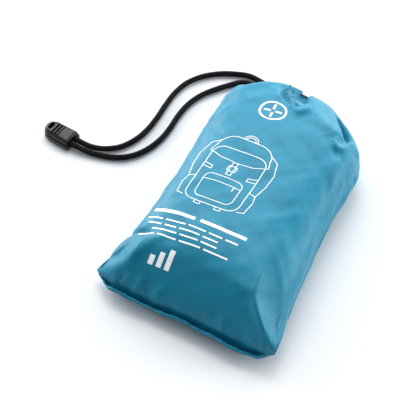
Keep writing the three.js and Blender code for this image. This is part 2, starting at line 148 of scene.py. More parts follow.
# Ridges (positive) and furrows (negative) that the stuffed cloth shows beside its main form: the points that one
# follows as (share round, share along), its width to the left and to the right, and its height in millimetres.
CREASES = (
    # the knot of folds that the drawcord pulls up at the mouth's middle: its dark hollow, the sharp fold beside it,
    # the shaded side on its left, the bowl on its right, and the lip that hangs round them
    (((0.298, 0.987), (0.285, 0.977), (0.272, 0.966)), 2.1, 1.9, -4.8),
    (((0.312, 0.98), (0.3, 0.974), (0.285, 0.963), (0.263, 0.94), (0.243, 0.924)), 1.1, 1.0, 2.2),
    (((0.31, 0.965), (0.29, 0.95), (0.271, 0.935), (0.252, 0.914), (0.245, 0.905)), 3.0, 2.0, -2.7),
    (((0.246, 0.982), (0.236, 0.968), (0.226, 0.952)), 4.0, 4.0, -1.4),
    (
        ((0.29, 0.925), (0.269, 0.914), (0.254, 0.901), (0.236, 0.889), (0.222, 0.912), (0.214, 0.938), (0.203, 0.966)),
        2.2, 2.4, 1.7,
    ),
    (((0.262, 0.882), (0.235, 0.868), (0.21, 0.872), (0.19, 0.89)), 5.0, 5.0, -1.0),
    # the valley on the right shoulder and its lip
    (((0.078, 0.965), (0.08, 0.94), (0.083, 0.915), (0.092, 0.88)), 3.4, 1.5, -5.0),
    (((0.14, 0.86), (0.138, 0.815), (0.122, 0.793), (0.106, 0.799), (0.09, 0.838), (0.08, 0.88)), 1.9, 1.9, 1.3),
    (((0.122, 0.768), (0.108, 0.76), (0.095, 0.775)), 3.0, 3.0, -0.8),
    # the shoulder between them falls away to the back
    (((0.205, 0.9), (0.18, 0.886), (0.156, 0.868), (0.142, 0.84)), 6.0, 6.0, 1.3),
    # soft creases that fan out to the left of the knot
    (((0.316, 0.985), (0.307, 0.96), (0.298, 0.936), (0.3, 0.905)), 2.2, 1.8, 0.6),
    (((0.335, 0.97), (0.345, 0.93), (0.36, 0.88), (0.37, 0.84)), 5.0, 3.6, -0.7),
    (((0.36, 0.98), (0.385, 0.95), (0.41, 0.91)), 5.0, 5.0, 0.6),
    # the folded corner on the left of the base, its wing, and the ridges that run up from both corners
    (((0.45, 0.02), (0.412, 0.036), (0.386, 0.06), (0.372, 0.094), (0.36, 0.125), (0.35, 0.17)), 5.0, 3.0, 1.6),
    (
        ((0.09, 0.028), (0.097, 0.05), (0.112, 0.078), (0.128, 0.095), (0.152, 0.118), (0.178, 0.132), (0.2, 0.138)),
        3.0, 4.0, 0.9,
    ),
    (((0.45, 0.05), (0.428, 0.075), (0.41, 0.11)), 2.4, 1.8, -1.0),
    (((0.43, 0.125), (0.405, 0.135), (0.385, 0.15)), 3.0, 2.4, -0.6),
    (((0.089, 0.036), (0.085, 0.024), (0.08, 0.012)), 1.0, 1.0, -1.6),
    # the sides' slow hollows
    (((0.45, 0.52), (0.452, 0.66), (0.45, 0.78)), 13.0, 13.0, -1.7),
    (((0.004, 0.4), (0.0, 0.55), (0.004, 0.68)), 14.0, 14.0, -1.6),
    (((0.41, 0.99), (0.4, 0.96), (0.37, 0.93), (0.34, 0.92)), 7.0, 7.0, -1.6),
    # puckers that the base seam draws up
    (((0.35, 0.012), (0.344, 0.03), (0.34, 0.042)), 2.2, 1.5, 0.9),
    (((0.312, 0.012), (0.309, 0.03), (0.305, 0.04)), 2.2, 1.5, 0.9),
    (((0.29, 0.012), (0.289, 0.026)), 2.0, 2.4, -0.5),
    (((0.274, 0.012), (0.272, 0.028)), 2.0, 2.4, 0.5),
    (((0.386, 0.012), (0.381, 0.026), (0.378, 0.036)), 1.8, 1.5, -0.7),
    (((0.329, 0.014), (0.327, 0.034)), 1.6, 1.6, -0.7),
    (((0.236, 0.012), (0.234, 0.03)), 2.6, 2.4, -0.5),
    (((0.196, 0.012), (0.194, 0.03), (0.19, 0.042)), 2.2, 2.2, 0.6),
    (((0.15, 0.012), (0.147, 0.03)), 2.2, 2.2, -0.5),
    (((0.122, 0.012), (0.118, 0.026)), 1.8, 1.8, 0.5),
)

# Where cloth is drawn round the cord as a tunnel, and where the cord's top is bare, in turns from the right side over
# the top. The hem runs round the cord from the first of these angles above its outer side to the second, in degrees.
HEM_SPANS = ((-0.38, 0.405),)
BARE_CORD = (0.234, 0.264)
HEM_TURN, HEM_END = 52.0, 245.0

# The same where the hem clasps the bare cord from below: where it turns and where it ends.
CLASP_TURN, CLASP_END = -25.0, -110.0


def smooth(x, low, high):
    t = np.clip((np.asarray(x, float) - low) / (high - low), 0.0, 1.0)
    return t * t * (3.0 - 2.0 * t)


def mix(a, b, t):
    return a + (b - a) * t


def bump(x, place, width):
    return np.exp(-(((x - place) / width) ** 2))


def section(name, along):
    """One column of the sections at shares of the length, on a curve that doesn't overshoot its rows."""
    place, value = SECTIONS[:, 0], SECTIONS[:, SECTION_COLUMNS.index(name)]
    rise = np.diff(value) / np.diff(place)
    slope = np.zeros(len(place))
    both = rise[:-1] * rise[1:]
    held = np.where(both > 0, rise[:-1] + rise[1:], 1.0)
    slope[1:-1] = np.where(both > 0, 2.0 * both / held, 0.0)
    i = np.clip(np.searchsorted(place, along, side="left") - 1, 0, len(place) - 2)
    span = place[i + 1] - place[i]
    t = np.clip((along - place[i]) / span, 0.0, 1.0)
    eased = mix(value[i], value[i + 1], t * t * (3.0 - 2.0 * t))
    return eased + span * (slope[i] * t * (1.0 - t) ** 2 - slope[i + 1] * t * t * (1.0 - t))


def pleat_depth(around, along):
    total = 0.0
    for place, depth, width, reach in PLEATS:
        off = np.abs(around - place)
        off = np.minimum(off, 1.0 - off)
        total = total + depth * smooth(along, 1.0 - reach, 1.0) * bump(off, 0.0, width)
    return total


def cloth_points(around, along, inset=0.0):
    """Points of the stuffed cloth, in millimetres. around runs from 0 at the right side over the top to 0.5 at the
    left side and back underneath."""
    around, along = np.broadcast_arrays(np.asarray(around, float), np.asarray(along, float))
    over = around <= 0.5
    sign = np.where(over, 1.0, -1.0)
    across = np.cos(2.0 * math.pi * around)
    mouth = section("mouth", along)
    wide = np.where(across > 0, section("right", along), section("left", along)) * HALF_WIDTH
    # the left corner's wing stands out below a nick in the side
    wing = 1.5 * bump(along, 0.103, 0.036) - 1.6 * bump(along, 0.153, 0.012)
    wide = wide + np.where(across < 0.0, wing, 0.0)
    reach = mix(wide, MOUTH_HALF_WIDTH + SEAT_GAP, mouth)
    side = mix(section("side", along) * POUCH_HEIGHT, MOUTH_Z, mouth)
    seam = np.maximum(0.0, 1.0 - along / SECTIONS[1, 0]) ** 2
    crest = np.where(over, section("top", along), section("bottom", along)) * POUCH_HEIGHT
    edge = mix(mix(crest, MOUTH_Z + sign * MOUTH_HALF_HEIGHT, mouth), side + sign * SEAM_HALF, seam)
    swell = np.maximum(0.0, 1.0 - np.abs(across) ** section("crown", along)) ** section("tip", along)
    # both corners are folded like a parcel's: a flat front, and sides that slope down from its two edges
    long_fold = 1.0 - smooth(along, 0.12, 0.32)
    folded = over * smooth(along, 0.003, 0.016) * np.where(across > 0.0, long_fold, 1.0 - smooth(along, 0.07, 0.18))
    turn_down = np.where(across > 0.0, mix(0.9, 0.61, smooth(along, 0.0, 0.14)), 0.72)
    flat = (1.0 - np.maximum(0.0, np.abs(across) - turn_down) / (1.0 - turn_down)) ** 0.9
    swell = mix(swell, flat, folded)
    shrink = 1.0 - pleat_depth(around, along) / np.hypot(reach, edge - side)
    x = across * (reach - inset) * shrink
    z = side + (edge - side - sign * inset) * swell * shrink
    ear = np.maximum(0.0, -x - HALF_WIDTH) ** 2 * np.maximum(0.0, 1.0 - along / 0.2)
    at_ends = smooth(along, 0.86, 0.97) + smooth(along, 0.03, 0.18) - 1.0
    skew = mix(section("skew", along), MOUTH_TURN, mouth)
    y = BASE_Y + POUCH_LENGTH * along + skew * x + EAR_BEND * ear - inset * at_ends
    # what the solids leave to the cloth: the seam's right half sags, and the stuffed corner above it is full
    near_base = np.maximum(0.0, 1.0 - along / 0.06) ** 2
    y = y - near_base * (2.1 * bump(x, 27.0, 16.0) - 3.2 * smooth(x, 40.0, 50.0))
    full = (1.0 - smooth(along, 0.03, 0.16)) * over
    z = z + full * smooth(along, 0.003, 0.018) * 2.0 * smooth(x, 26.0, 38.0)
    z = z - 1.3 * near_base - 2.2 * smooth(-x, 48.0, 57.0) * (1.0 - smooth(along, 0.012, 0.05))
    # the seam is turned down in a strip of uneven height, with a furrow above it, and its ends are tucked under
    strip = np.maximum(0.0, 1.0 - along / SEAM_STRIP)
    drop = STRIP_DROP
    for depth, place, width in STRIP_SAGS:
        drop = drop + depth * bump(x, place, width)
    drop = drop + 0.35 * np.sin(x * 0.31) + 0.25 * np.sin(x * 0.83 + 1.0)
    furrow = bump(strip, 0.42, 0.12) * over * (1.0 - smooth(x, 39.0, 43.0)) * (1.0 + 0.5 * np.sin(x * 0.47 + 2.0))
    z = z - drop * strip - 0.35 * furrow
    y = y + 0.55 * furrow - 0.6 * bump(strip, 0.8, 0.25) * over
    tucked = np.maximum(0.0, 1.0 - along / 0.014)
    x, y = (
        x + tucked * (2.0 * smooth(-x, 50.0, 61.0) - 4.5 * smooth(x, 40.0, 48.0)),
        y + tucked * (2.2 * smooth(-x, 50.0, 61.0) + 0.8 * smooth(x, 40.0, 48.0)),
    )
    return np.stack([x + MOUTH_X * smooth(along, 0.8, 1.0), y, np.maximum(z, inset)], axis=-1)


def mouth_points(turn):
    turn = np.asarray(turn, float)
    across = np.cos(2.0 * math.pi * turn)
    rise = np.sign(np.sin(2.0 * math.pi * turn)) * np.sqrt(np.maximum(0.0, 1.0 - across**4))
    seat = BASE_Y + POUCH_LENGTH + HEM_RADIUS + GATHER_DEPTH + SEAT_GAP
    x = across * MOUTH_HALF_WIDTH
    return np.stack([MOUTH_X + x, seat + MOUTH_TURN * x, MOUTH_Z + MOUTH_HALF_HEIGHT * rise], axis=-1)


# --- Small helpers for meshes, curves and materials ---


def unit(v):
    return v / np.maximum(np.linalg.norm(v, axis=-1, keepdims=True), 1e-9)


def srgb(code):
    """A hex colour as linear red, green, blue and alpha."""
    parts = [int(code.lstrip("#")[i : i + 2], 16) / 255.0 for i in (0, 2, 4)]
    return tuple(c / 12.92 if c <= 0.04045 else ((c + 0.055) / 1.055) ** 2.4 for c in parts) + (1.0,)


def grid_normals(points):
    """Outward normals of a grid of points whose first index runs round and whose second runs along."""
    round_it = np.roll(points, -1, axis=0) - np.roll(points, 1, axis=0)
    return unit(np.cross(np.gradient(points, axis=1), round_it))


def new_object(name, points, faces, uvs=None, smooth_shading=True):
    """A mesh object at the origin from points in millimetres. uvs holds one pair for each corner of each face."""
    mesh = bpy.data.meshes.new(name)
    mesh.from_pydata((np.asarray(points, float) * MM).tolist(), [], [list(f) for f in faces])
    if uvs is not None:
        layer = mesh.uv_layers.new(name="cloth_mm")
        layer.data.foreach_set("uv", np.asarray(uvs, float).ravel())
    mesh.polygons.foreach_set("use_smooth", [smooth_shading] * len(mesh.polygons))
    mesh.update()
    obj = bpy.data.objects.new(name, mesh)
    bpy.context.scene.collection.objects.link(obj)
    return obj


def face_outwards(obj):
    work = bmesh.new()
    work.from_mesh(obj.data)
    bmesh.ops.recalc_face_normals(work, faces=work.faces)
    if work.calc_volume(signed=True) < 0.0:
        bmesh.ops.reverse_faces(work, faces=work.faces)
    work.to_mesh(obj.data)
    work.free()
    return obj


def spline_through(points, step):
    """Points evenly apart on a centripetal Catmull-Rom curve, as the solids' paths are made."""
    given = np.asarray(points, float)
    ends = [2.0 * given[0] - given[1]], [2.0 * given[-1] - given[-2]]
    p = np.concatenate([ends[0], given, ends[1]])
    out = []
    for k in range(1, len(p) - 2):
        knots = np.cumsum([0.0] + [max(np.linalg.norm(p[k + m] - p[k + m - 1]) ** 0.5, 1e-4) for m in (0, 1, 2)])
        t = np.linspace(knots[1], knots[2], 24, endpoint=k == len(p) - 3)[:, None]
        a = [
            (knots[m + 1] - t) / (knots[m + 1] - knots[m]) * p[k - 1 + m]
            + (t - knots[m]) / (knots[m + 1] - knots[m]) * p[k + m]
            for m in (0, 1, 2)
        ]
        b = [
            (knots[m + 2] - t) / (knots[m + 2] - knots[m]) * a[m]
            + (t - knots[m]) / (knots[m + 2] - knots[m]) * a[m + 1]
            for m in (0, 1)
        ]
        out.append((knots[2] - t) / (knots[2] - knots[1]) * b[0] + (t - knots[1]) / (knots[2] - knots[1]) * b[1])
    fine = np.concatenate(out)
    run = np.concatenate([[0.0], np.cumsum(np.linalg.norm(np.diff(fine, axis=0), axis=1))])
    count = max(3, int(round(run[-1] / step)) + 1)
    places = np.linspace(0.0, run[-1], count)
    return np.stack([np.interp(places, run, fine[:, i]) for i in range(3)], axis=-1), run[-1]


def carried_frames(line):
    """Two directions square to a line at each of its points, carried along it without twist."""
    tangent = unit(np.gradient(line, axis=0))
    first = np.cross(tangent[0], [0.0, 0.0, 1.0])
    if np.linalg.norm(first) < 0.1:
        first = np.cross(tangent[0], [1.0, 0.0, 0.0])
    first = first / np.linalg.norm(first)
    ones, twos = [], []
    for t in tangent:
        first = first - t * np.dot(first, t)
        first = first / np.linalg.norm(first)
        ones.append(first)
        twos.append(np.cross(t, first))
    return np.array(ones), np.array(twos)


def ring_faces(rings, count, closed_ends=True):
    """Quads between rings of equal count, with a fan's hub at each end where the ends are closed."""
    faces = []
    for r in range(rings - 1):
        low, high = r * count, (r + 1) * count
        for i in range(count):
            j = (i + 1) % count
            faces.append((low + i, low + j, high + j, high + i))
    if closed_ends:
        faces.append(tuple(range(count))[::-1])
        faces.append(tuple((rings - 1) * count + i for i in range(count)))
    return faces


def ring_uvs(run, count, wide):
    """UVs in millimetres for the faces of rings at distances along a tube, each side of a ring as wide as given."""
    uvs = []
    for low, high in zip(run[:-1], run[1:]):
        for i in range(count):
            near, far = i * wide, (i + 1) * wide
            uvs += [(near, low), (far, low), (far, high), (near, high)]
    return uvs + [(0.0, 0.0)] * (2 * count)


def add(tree, kind, inputs=None, **settings):
    """Adds a node with its settings; inputs maps a socket's name or number to a value or to another node's output."""
    node = tree.nodes.new(kind)
    for key, value in settings.items():
        setattr(node, key, value)
    for key, value in (inputs or {}).items():
        if isinstance(value, bpy.types.NodeSocket):
            tree.links.new(value, node.inputs[key])
        else:
            node.inputs[key].default_value = value
    return node


def new_material(name, shader):
    """A material whose Principled shader has the given constants on its own sockets."""
    material = bpy.data.materials.new(name)
    material.use_nodes = True
    tree = material.node_tree
    tree.nodes.clear()
    principled = add(tree, "ShaderNodeBsdfPrincipled", shader)
    add(tree, "ShaderNodeOutputMaterial", {"Surface": principled.outputs["BSDF"]})
    return material, tree, principled


def mottled(tree, shader, colour, where, scale, detail, dark, pale):
    """Gives a shader a hex colour that cloudy noise makes darker and paler."""
    cloud = add(tree, "ShaderNodeTexNoise", {"Vector": where, "Scale": scale, "Detail": detail}).outputs["Fac"]
    level = add(tree, "ShaderNodeMapRange", {"Value": cloud, 1: 0.3, 2: 0.7, 3: dark, 4: pale}).outputs[0]
    tone = add(tree, "ShaderNodeVectorMath", {0: srgb(colour)[:3], "Scale": level}, operation="SCALE").outputs[0]
    tree.links.new(tone, shader.inputs["Base Color"])


# --- Materials ---


def woven_polyester(name, colour, tint, cell):
    """Plain-woven polyester taffeta, dyed and calendered: a thin cloth with a satin gloss at low angles and a fine
    square weave that catches the light as faint ribs."""
    material, tree, shader = new_material(
        name,
        {
            "Roughness": 0.46,
            "IOR": 1.5,
            "Specular Tint": srgb("#d2edf5"),
            "Sheen Weight": 0.16,
            "Sheen Roughness": 0.28,
            "Sheen Tint": srgb(tint),
            "Metallic": 0.0,
        },
    )
    uv = add(tree, "ShaderNodeUVMap", uv_map="cloth_mm").outputs["UV"]
    # the weave: threads 0.3 mm apart are too fine to show, so the ribs are drawn at the ripstop's own spacing
    ribs, cross = (
        add(
            tree, "ShaderNodeTexWave",
            {"Vector": uv, "Scale": 0.314 / cell, "Distortion": 0.35, "Detail": 1.0, "Detail Scale": 2.0},
            bands_direction=way,
        ).outputs["Fac"]
        for way in ("Y", "X")
    )
    weave = add(tree, "ShaderNodeMath", {0: ribs, 1: cross}, operation="MAXIMUM").outputs[0]
    # cloth that has been stuffed by hand: soft blotches 14 mm across and fine crumple lines
    handled = add(
        tree, "ShaderNodeTexNoise", {"Vector": uv, "Scale": 0.07, "Detail": 3.0, "Roughness": 0.55}
    ).outputs["Fac"]
    crumple = add(
        tree, "ShaderNodeTexNoise", {"Vector": uv, "Scale": 0.22, "Detail": 4.0, "Roughness": 0.6, "Distortion": 0.6}
    ).outputs["Fac"]
    shade = add(tree, "ShaderNodeMapRange", {"Value": handled, 1: 0.3, 2: 0.7, 3: 0.9, 4: 1.08}).outputs[0]
    thread = add(tree, "ShaderNodeMapRange", {"Value": weave, 1: 0.0, 2: 1.0, 3: 0.965, 4: 1.02}).outputs[0]
    both = add(tree, "ShaderNodeMath", {0: shade, 1: thread}, operation="MULTIPLY").outputs[0]
    dyed = add(tree, "ShaderNodeVectorMath", {0: srgb(colour)[:3], "Scale": both}, operation="SCALE").outputs[0]
    tree.links.new(dyed, shader.inputs["Base Color"])
    gloss = add(tree, "ShaderNodeMapRange", {"Value": crumple, 1: 0.35, 2: 0.65, 3: 0.42, 4: 0.52}).outputs[0]
    tree.links.new(gloss, shader.inputs["Roughness"])
    soft = add(tree, "ShaderNodeBump", {"Height": crumple, "Strength": 0.16, "Distance": 0.0006})
    fine = add(
        tree, "ShaderNodeBump",
        {"Height": weave, "Strength": 0.22, "Distance": 0.00012, "Normal": soft.outputs[0]},
    )
    tree.links.new(fine.outputs[0], shader.inputs["Normal"])
    return material


def braided_polyester(name, colour):
    """Braided polyester cord, dyed black: a soft matt yarn, with small greyish highlights painted on its bundles'
    crowns and painted shade in the furrows between them.
    """
    material, tree, shader = new_material(
        name,
        {"Roughness": 0.6, "IOR": 1.4, "Specular IOR Level": 0.16, "Sheen Weight": 0.02, "Sheen Roughness": 0.4},
    )
    uv = add(tree, "ShaderNodeUVMap", uv_map="cloth_mm").outputs["UV"]
    split = add(tree, "ShaderNodeSeparateXYZ", {0: uv})
    # eight bundles each way round an 11.9 mm circumference, once round in 10.5 mm: diamonds about 1.4 mm across
    across, along = (
        add(tree, "ShaderNodeMath", {0: split.outputs[side], 1: waves}, operation="MULTIPLY").outputs[0]
        for side, waves in (("X", BRAID_BUNDLES / CORD_DIAMETER), ("Y", math.pi * BRAID_BUNDLES / BRAID_PITCH))
    )
    ways = []
    for way in ("ADD", "SUBTRACT"):
        turned = add(tree, "ShaderNodeMath", {0: across, 1: along}, operation=way)
        ways.append(add(tree, "ShaderNodeMath", {0: turned.outputs[0]}, operation="COSINE").outputs[0])
    diamond = add(tree, "ShaderNodeMath", {0: ways[0], 1: ways[1]}, operation="MULTIPLY").outputs[0]
    # painted highlights and shade: the colour is made up to twenty times paler on the bundles' crowns as glints, and
    # darker in the furrows
    painted_glint_and_shade = add(tree, "ShaderNodeMapRange", {"Value": diamond, 1: 0.35, 2: 0.95, 3: 0.4, 4: 20.0}, clamp=True).outputs[0]
    # filaments of the yarn, about 0.25 mm apart
    filament = add(
        tree, "ShaderNodeTexWave",
        {"Vector": uv, "Scale": 1.2, "Distortion": 2.0, "Detail": 2.0, "Detail Scale": 3.0},
        bands_direction="DIAGONAL",
    ).outputs["Fac"]
    patch = add(tree, "ShaderNodeTexNoise", {"Vector": uv, "Scale": 0.9, "Detail": 2.0}).outputs["Fac"]
    level = add(tree, "ShaderNodeMapRange", {"Value": patch, 1: 0.3, 2: 0.7, 3: 0.6, 4: 1.6}).outputs[0]
    level = add(tree, "ShaderNodeMath", {0: level, 1: painted_glint_and_shade}, operation="MULTIPLY").outputs[0]
    dyed = add(tree, "ShaderNodeVectorMath", {0: srgb(colour)[:3], "Scale": level}, operation="SCALE").outputs[0]
    tree.links.new(dyed, shader.inputs["Base Color"])
    rise = add(tree, "ShaderNodeMath", {0: filament, 1: diamond}, operation="ADD").outputs[0]
    relief = add(tree, "ShaderNodeBump", {"Height": rise, "Strength": 0.6, "Distance": 0.0003})
    tree.links.new(relief.outputs[0], shader.inputs["Normal"])
    return material


def moulded_plastic(name, colour):
    """Injection-moulded acetal with a fine spark-eroded grain: dark grey, half matt, and paler where it is worn."""
    material, tree, shader = new_material(
        name, {"Roughness": 0.34, "IOR": 1.48, "Specular IOR Level": 0.42, "Metallic": 0.0}
    )
    place = add(tree, "ShaderNodeTexCoord").outputs["Object"]
    # grain 0.25 mm across, drawn at 0.5 mm so that it shows
    grain = add(tree, "ShaderNodeTexNoise", {"Vector": place, "Scale": 2000.0, "Detail": 2.0}).outputs["Fac"]
    mottled(tree, shader, colour, place, 180.0, 2.0, 0.85, 1.25)
    relief = add(tree, "ShaderNodeBump", {"Height": grain, "Strength": 0.2, "Distance": 0.0001})
    tree.links.new(relief.outputs[0], shader.inputs["Normal"])
    return material


def screen_print(name, colour):
    """Plastisol ink, screen printed and cured on the cloth: an opaque film, a little glossier than the weave. It glows
    faintly with painted light, a weak white emission that keeps it bright on the faces that are turned from the light."""
    # painted light: the faint white emission lifts the print where it faces away from the lamps
    material, tree, shader = new_material(
        name, {"Roughness": 0.5, "IOR": 1.5, "Emission Color": srgb("#ffffff"), "Emission Strength": 0.14}
    )
    mottled(tree, shader, colour, add(tree, "ShaderNodeTexCoord").outputs["Object"], 400.0, 3.0, 0.93, 1.0)
    return material


def spun_thread(name, colour):
    """Spun polyester sewing thread, dyed: fine, matt and a little fuzzy. The seam's thread is given a dark teal that is
    partly painted shade, standing for the shadow in the seam's furrow.
    """
    material, tree, shader = new_material(
        name, {"Roughness": 0.7, "IOR": 1.5, "Sheen Weight": 0.2, "Sheen Roughness": 0.5}
    )
    mottled(tree, shader, colour, add(tree, "ShaderNodeTexCoord").outputs["Object"], 3000.0, 1.0, 0.7, 1.3)
    return material


def painted_floor(name, colour):
    """Matt painted board."""
    shader = {"Base Color": srgb(colour), "Roughness": 0.9, "IOR": 1.3, "Specular IOR Level": 0.1}
    return new_material(name, shader)[0]


# --- Settings ---


class PouchClothSettings(bpy.types.PropertyGroup):
    cloth_colour: bpy.props.StringProperty(
        name="Cloth Colour", description="Dyed colour of the pouch's polyester, as a hex code", default="#007f9e"
    )
    sheen_colour: bpy.props.StringProperty(
        name="Sheen Colour", description="Colour of the satin gloss at low angles, as a hex code", default="#d5f1f7"
    )
    bundle_colour: bpy.props.StringProperty(
        name="Backpack Colour", description="Dyed colour of the folded backpack, as a hex code", default="#16809f"
    )
    rib_spacing: bpy.props.FloatProperty(
        name="Rib Spacing", description="Distance between the weave's thicker threads, in millimetres",
        default=1.2, min=0.4, max=6.0,
    )
    wall: bpy.props.FloatProperty(
        name="Wall", description="Thickness of the pouch's cloth with its turned seams",
        default=0.0011, min=0.0002, max=0.003, subtype="DISTANCE", unit="LENGTH",
    )
    swell: bpy.props.FloatProperty(
        name="Swell Limit", description="How far the simulated cloth may move from its drawn form",
        default=0.0006, min=0.0, max=0.01, subtype="DISTANCE", unit="LENGTH",
    )
    fold_depth: bpy.props.FloatProperty(
        name="Fold Depth", description="Depth of the drawn folds, as a share of the chosen ones",
        default=1.0, min=0.0, max=2.0, subtype="FACTOR",
    )


class PouchCordSettings(bpy.types.PropertyGroup):
    diameter: bpy.props.FloatProperty(
        name="Cord Diameter", description="Diameter of the drawcord over its braid",
        default=CORD_DIAMETER * MM, min=0.001, max=0.008, subtype="DISTANCE", unit="LENGTH",
    )
    braid_relief: bpy.props.FloatProperty(
        name="Braid Relief", description="Height of the braid's bundles over the furrows between them",
        default=0.0005, min=0.0, max=0.001, subtype="DISTANCE", unit="LENGTH",
    )
    braid_pitch: bpy.props.FloatProperty(
        name="Braid Pitch", description="Length in which a bundle goes once round the cord",
        default=BRAID_PITCH * MM, min=0.003, max=0.03, subtype="DISTANCE", unit="LENGTH",
    )
    cord_colour: bpy.props.StringProperty(
        name="Cord Colour", description="Dyed colour of the cord, as a hex code", default="#09090b"
    )
    end_colour: bpy.props.StringProperty(
        name="Cord End Colour", description="Colour of the cord end's plastic, as a hex code", default="#0b0d0e"
    )


class PouchTrimSettings(bpy.types.PropertyGroup):
    ink_colour: bpy.props.StringProperty(
        name="Ink Colour", description="Colour of the screen print, as a hex code", default="#f7fbfc"
    )
    ink_film: bpy.props.FloatProperty(
        name="Ink Film", description="How far the print stands above the cloth",
        default=0.00012, min=0.00002, max=0.0005, subtype="DISTANCE", unit="LENGTH",
    )
    stitch_pitch: bpy.props.FloatProperty(
        name="Stitch Pitch", description="Distance from one stitch to the next",
        default=0.0029, min=0.001, max=0.01, subtype="DISTANCE", unit="LENGTH",
    )
    stitch_length: bpy.props.FloatProperty(
        name="Stitch Length", description="Length of thread that shows in one stitch",
        default=0.0021, min=0.0005, max=0.01, subtype="DISTANCE", unit="LENGTH",
    )
    thread_width: bpy.props.FloatProperty(
        name="Thread Width", description="Width of the sewing thread",
        default=0.0006, min=0.0001, max=0.002, subtype="DISTANCE", unit="LENGTH",
    )
    # the thread's dark teal is partly its own dye and partly painted shade: it also stands for the shadow in the base
    # seam's furrow
    thread_colour: bpy.props.StringProperty(
        name="Thread Colour", description="Colour of the sewing thread, as a hex code", default="#06303d"
    )


class PouchStageSettings(bpy.types.PropertyGroup):
    key_power: bpy.props.FloatProperty(
        name="Key Light", description="Power of the large light behind and to the left", default=12.0, min=0.0,
        unit="POWER",
    )
    side_power: bpy.props.FloatProperty(
        name="Side Light", description="Power of the large light behind and to the right", default=8.0, min=0.0,
        unit="POWER",
    )
    back_power: bpy.props.FloatProperty(
        name="Back Light", description="Power of the large light high up behind", default=8.0, min=0.0, unit="POWER"
    )
    low_power: bpy.props.FloatProperty(
        name="Low Back Light", description="Power of the large light low down behind", default=7.0, min=0.0,
        unit="POWER",
    )
    fill_strength: bpy.props.FloatProperty(
        name="Fill", description="Strength of the even light from all round", default=0.68, min=0.0
    )
    floor_colour: bpy.props.StringProperty(
        name="Floor Colour", description="Colour of the painted floor, as a hex code", default="#f4f6f8"
    )
    focal_length: bpy.props.FloatProperty(
        name="Focal Length", description="Focal length of the camera's lens, in millimetres", default=153.0, min=20.0
    )


# --- Operators ---


class PouchStageOperator(bpy.types.Operator):
    """Makes the camera, the pale floor and the soft studio light"""

    bl_idname = "pouch.stage"
    bl_label = "Stage and Camera"

    def execute(self, context):
        settings = context.scene.pouch_stage
        target = Vector((-33.5, 5.0, 0.0)) * MM
        azimuth, elevation, distance = math.radians(24.0), math.radians(50.0), 0.9714
        back = Vector(
            (math.sin(azimuth) * math.cos(elevation), -math.cos(azimuth) * math.cos(elevation), math.sin(elevation))
        )
        right = Vector((math.cos(azimuth), math.sin(azimuth), 0.0))
        up = back.cross(right)
        camera = bpy.data.objects.new("camera", bpy.data.cameras.new("camera"))
        context.scene.collection.objects.link(camera)
        turn = Matrix((right, up, back)).transposed().to_4x4()
        camera.matrix_world = Matrix.Translation(target + back * distance) @ turn
        camera.data.lens = settings.focal_length
        camera.data.sensor_fit = "HORIZONTAL"
        camera.data.sensor_width = 36.0
        camera.data.clip_start = 0.05
        context.scene.camera = camera

        edge = 3000.0
        corners = [(-edge, -edge, 0.0), (edge, -edge, 0.0), (edge, edge, 0.0), (-edge, edge, 0.0)]
        floor = new_object("floor", corners, [(0, 1, 2, 3)])
        floor.data.materials.append(painted_floor("Matt White Painted Board", settings.floor_colour))

        for name, place, power, size in (
            ("key_light", (-1.15, 0.55, 0.4), settings.key_power, 0.9),
            ("side_light", (1.05, 0.6, 0.36), settings.side_power, 0.7),
            ("back_light", (-0.36, 0.83, 1.08), settings.back_power, 0.9),
            ("low_back_light", (0.2, 1.3, 0.34), settings.low_power, 0.9),
        ):
            lamp = bpy.data.lights.new(name, "AREA")
            lamp.shape, lamp.size, lamp.energy = "DISK", size, power
            light = bpy.data.objects.new(name, lamp)
            light.location = place
            light.rotation_euler = (Vector((0.0, 0.0, 0.01)) - Vector(place)).to_track_quat("-Z", "Y").to_euler()
            light.visible_camera = False
            context.scene.collection.objects.link(light)
        world = bpy.data.worlds.new("soft_surround")
        world.use_nodes = True
        world.node_tree.nodes.clear()
        # the surround is bright behind the object and on its left, and dim in front of it
        tree, fill = world.node_tree, settings.fill_strength
        toward = add(tree, "ShaderNodeTexCoord").outputs["Generated"]
        split = add(tree, "ShaderNodeVectorMath", {0: toward, 1: (-0.4, 0.9, 0.0)}, operation="DOT_PRODUCT")
        level = add(
            tree, "ShaderNodeMapRange",
            {"Value": split.outputs["Value"], 1: -0.9, 2: 0.75, 3: fill * 0.18, 4: fill * 1.7},
            interpolation_type="SMOOTHSTEP",
        ).outputs[0]
        sky = add(tree, "ShaderNodeBackground", {"Color": srgb("#fbfcff"), "Strength": level})
        add(tree, "ShaderNodeOutputWorld", {"Surface": sky.outputs[0]})
        context.scene.world = world
        context.scene.view_settings.view_transform = "Standard"
        context.scene.view_settings.look = "None"
        return {"FINISHED"}


def braided_cord(name, points, radius, relief, pitch, sides=32, step=0.45):
    """A closed tube in a diamond braid along points in millimetres. Returns the object, its centreline and length."""
    line, length = spline_through(points, step)
    one, two = carried_frames(line)
    angle = np.linspace(0.0, 2.0 * math.pi, sides, endpoint=False)
    run = np.linspace(0.0, length, len(line))
    pairs = BRAID_BUNDLES / 2
    a = pairs * angle[None, :] + 2.0 * math.pi * pairs * run[:, None] / pitch
    b = pairs * angle[None, :] - 2.0 * math.pi * pairs * run[:, None] / pitch
    diamond = np.cos(a) * np.cos(b)
    lift = np.maximum(diamond, -0.6 * diamond)
    away = radius - relief * (1.0 - lift)
    ring = line[:, None, :] + away[..., None] * (
        np.cos(angle)[None, :, None] * one[:, None, :] + np.sin(angle)[None, :, None] * two[:, None, :]
    )
    faces = ring_faces(len(line), sides)
    uvs = ring_uvs(run, sides, 2.0 * math.pi * radius / sides)
    return face_outwards(new_object(name, ring.reshape(-1, 3), faces, uvs)), line, length


def loop_direction(turn):
    end = mouth_points(turn)
    ahead = unit(mouth_points(mix(turn, 0.5, 0.05)) - end)
    return end, ahead


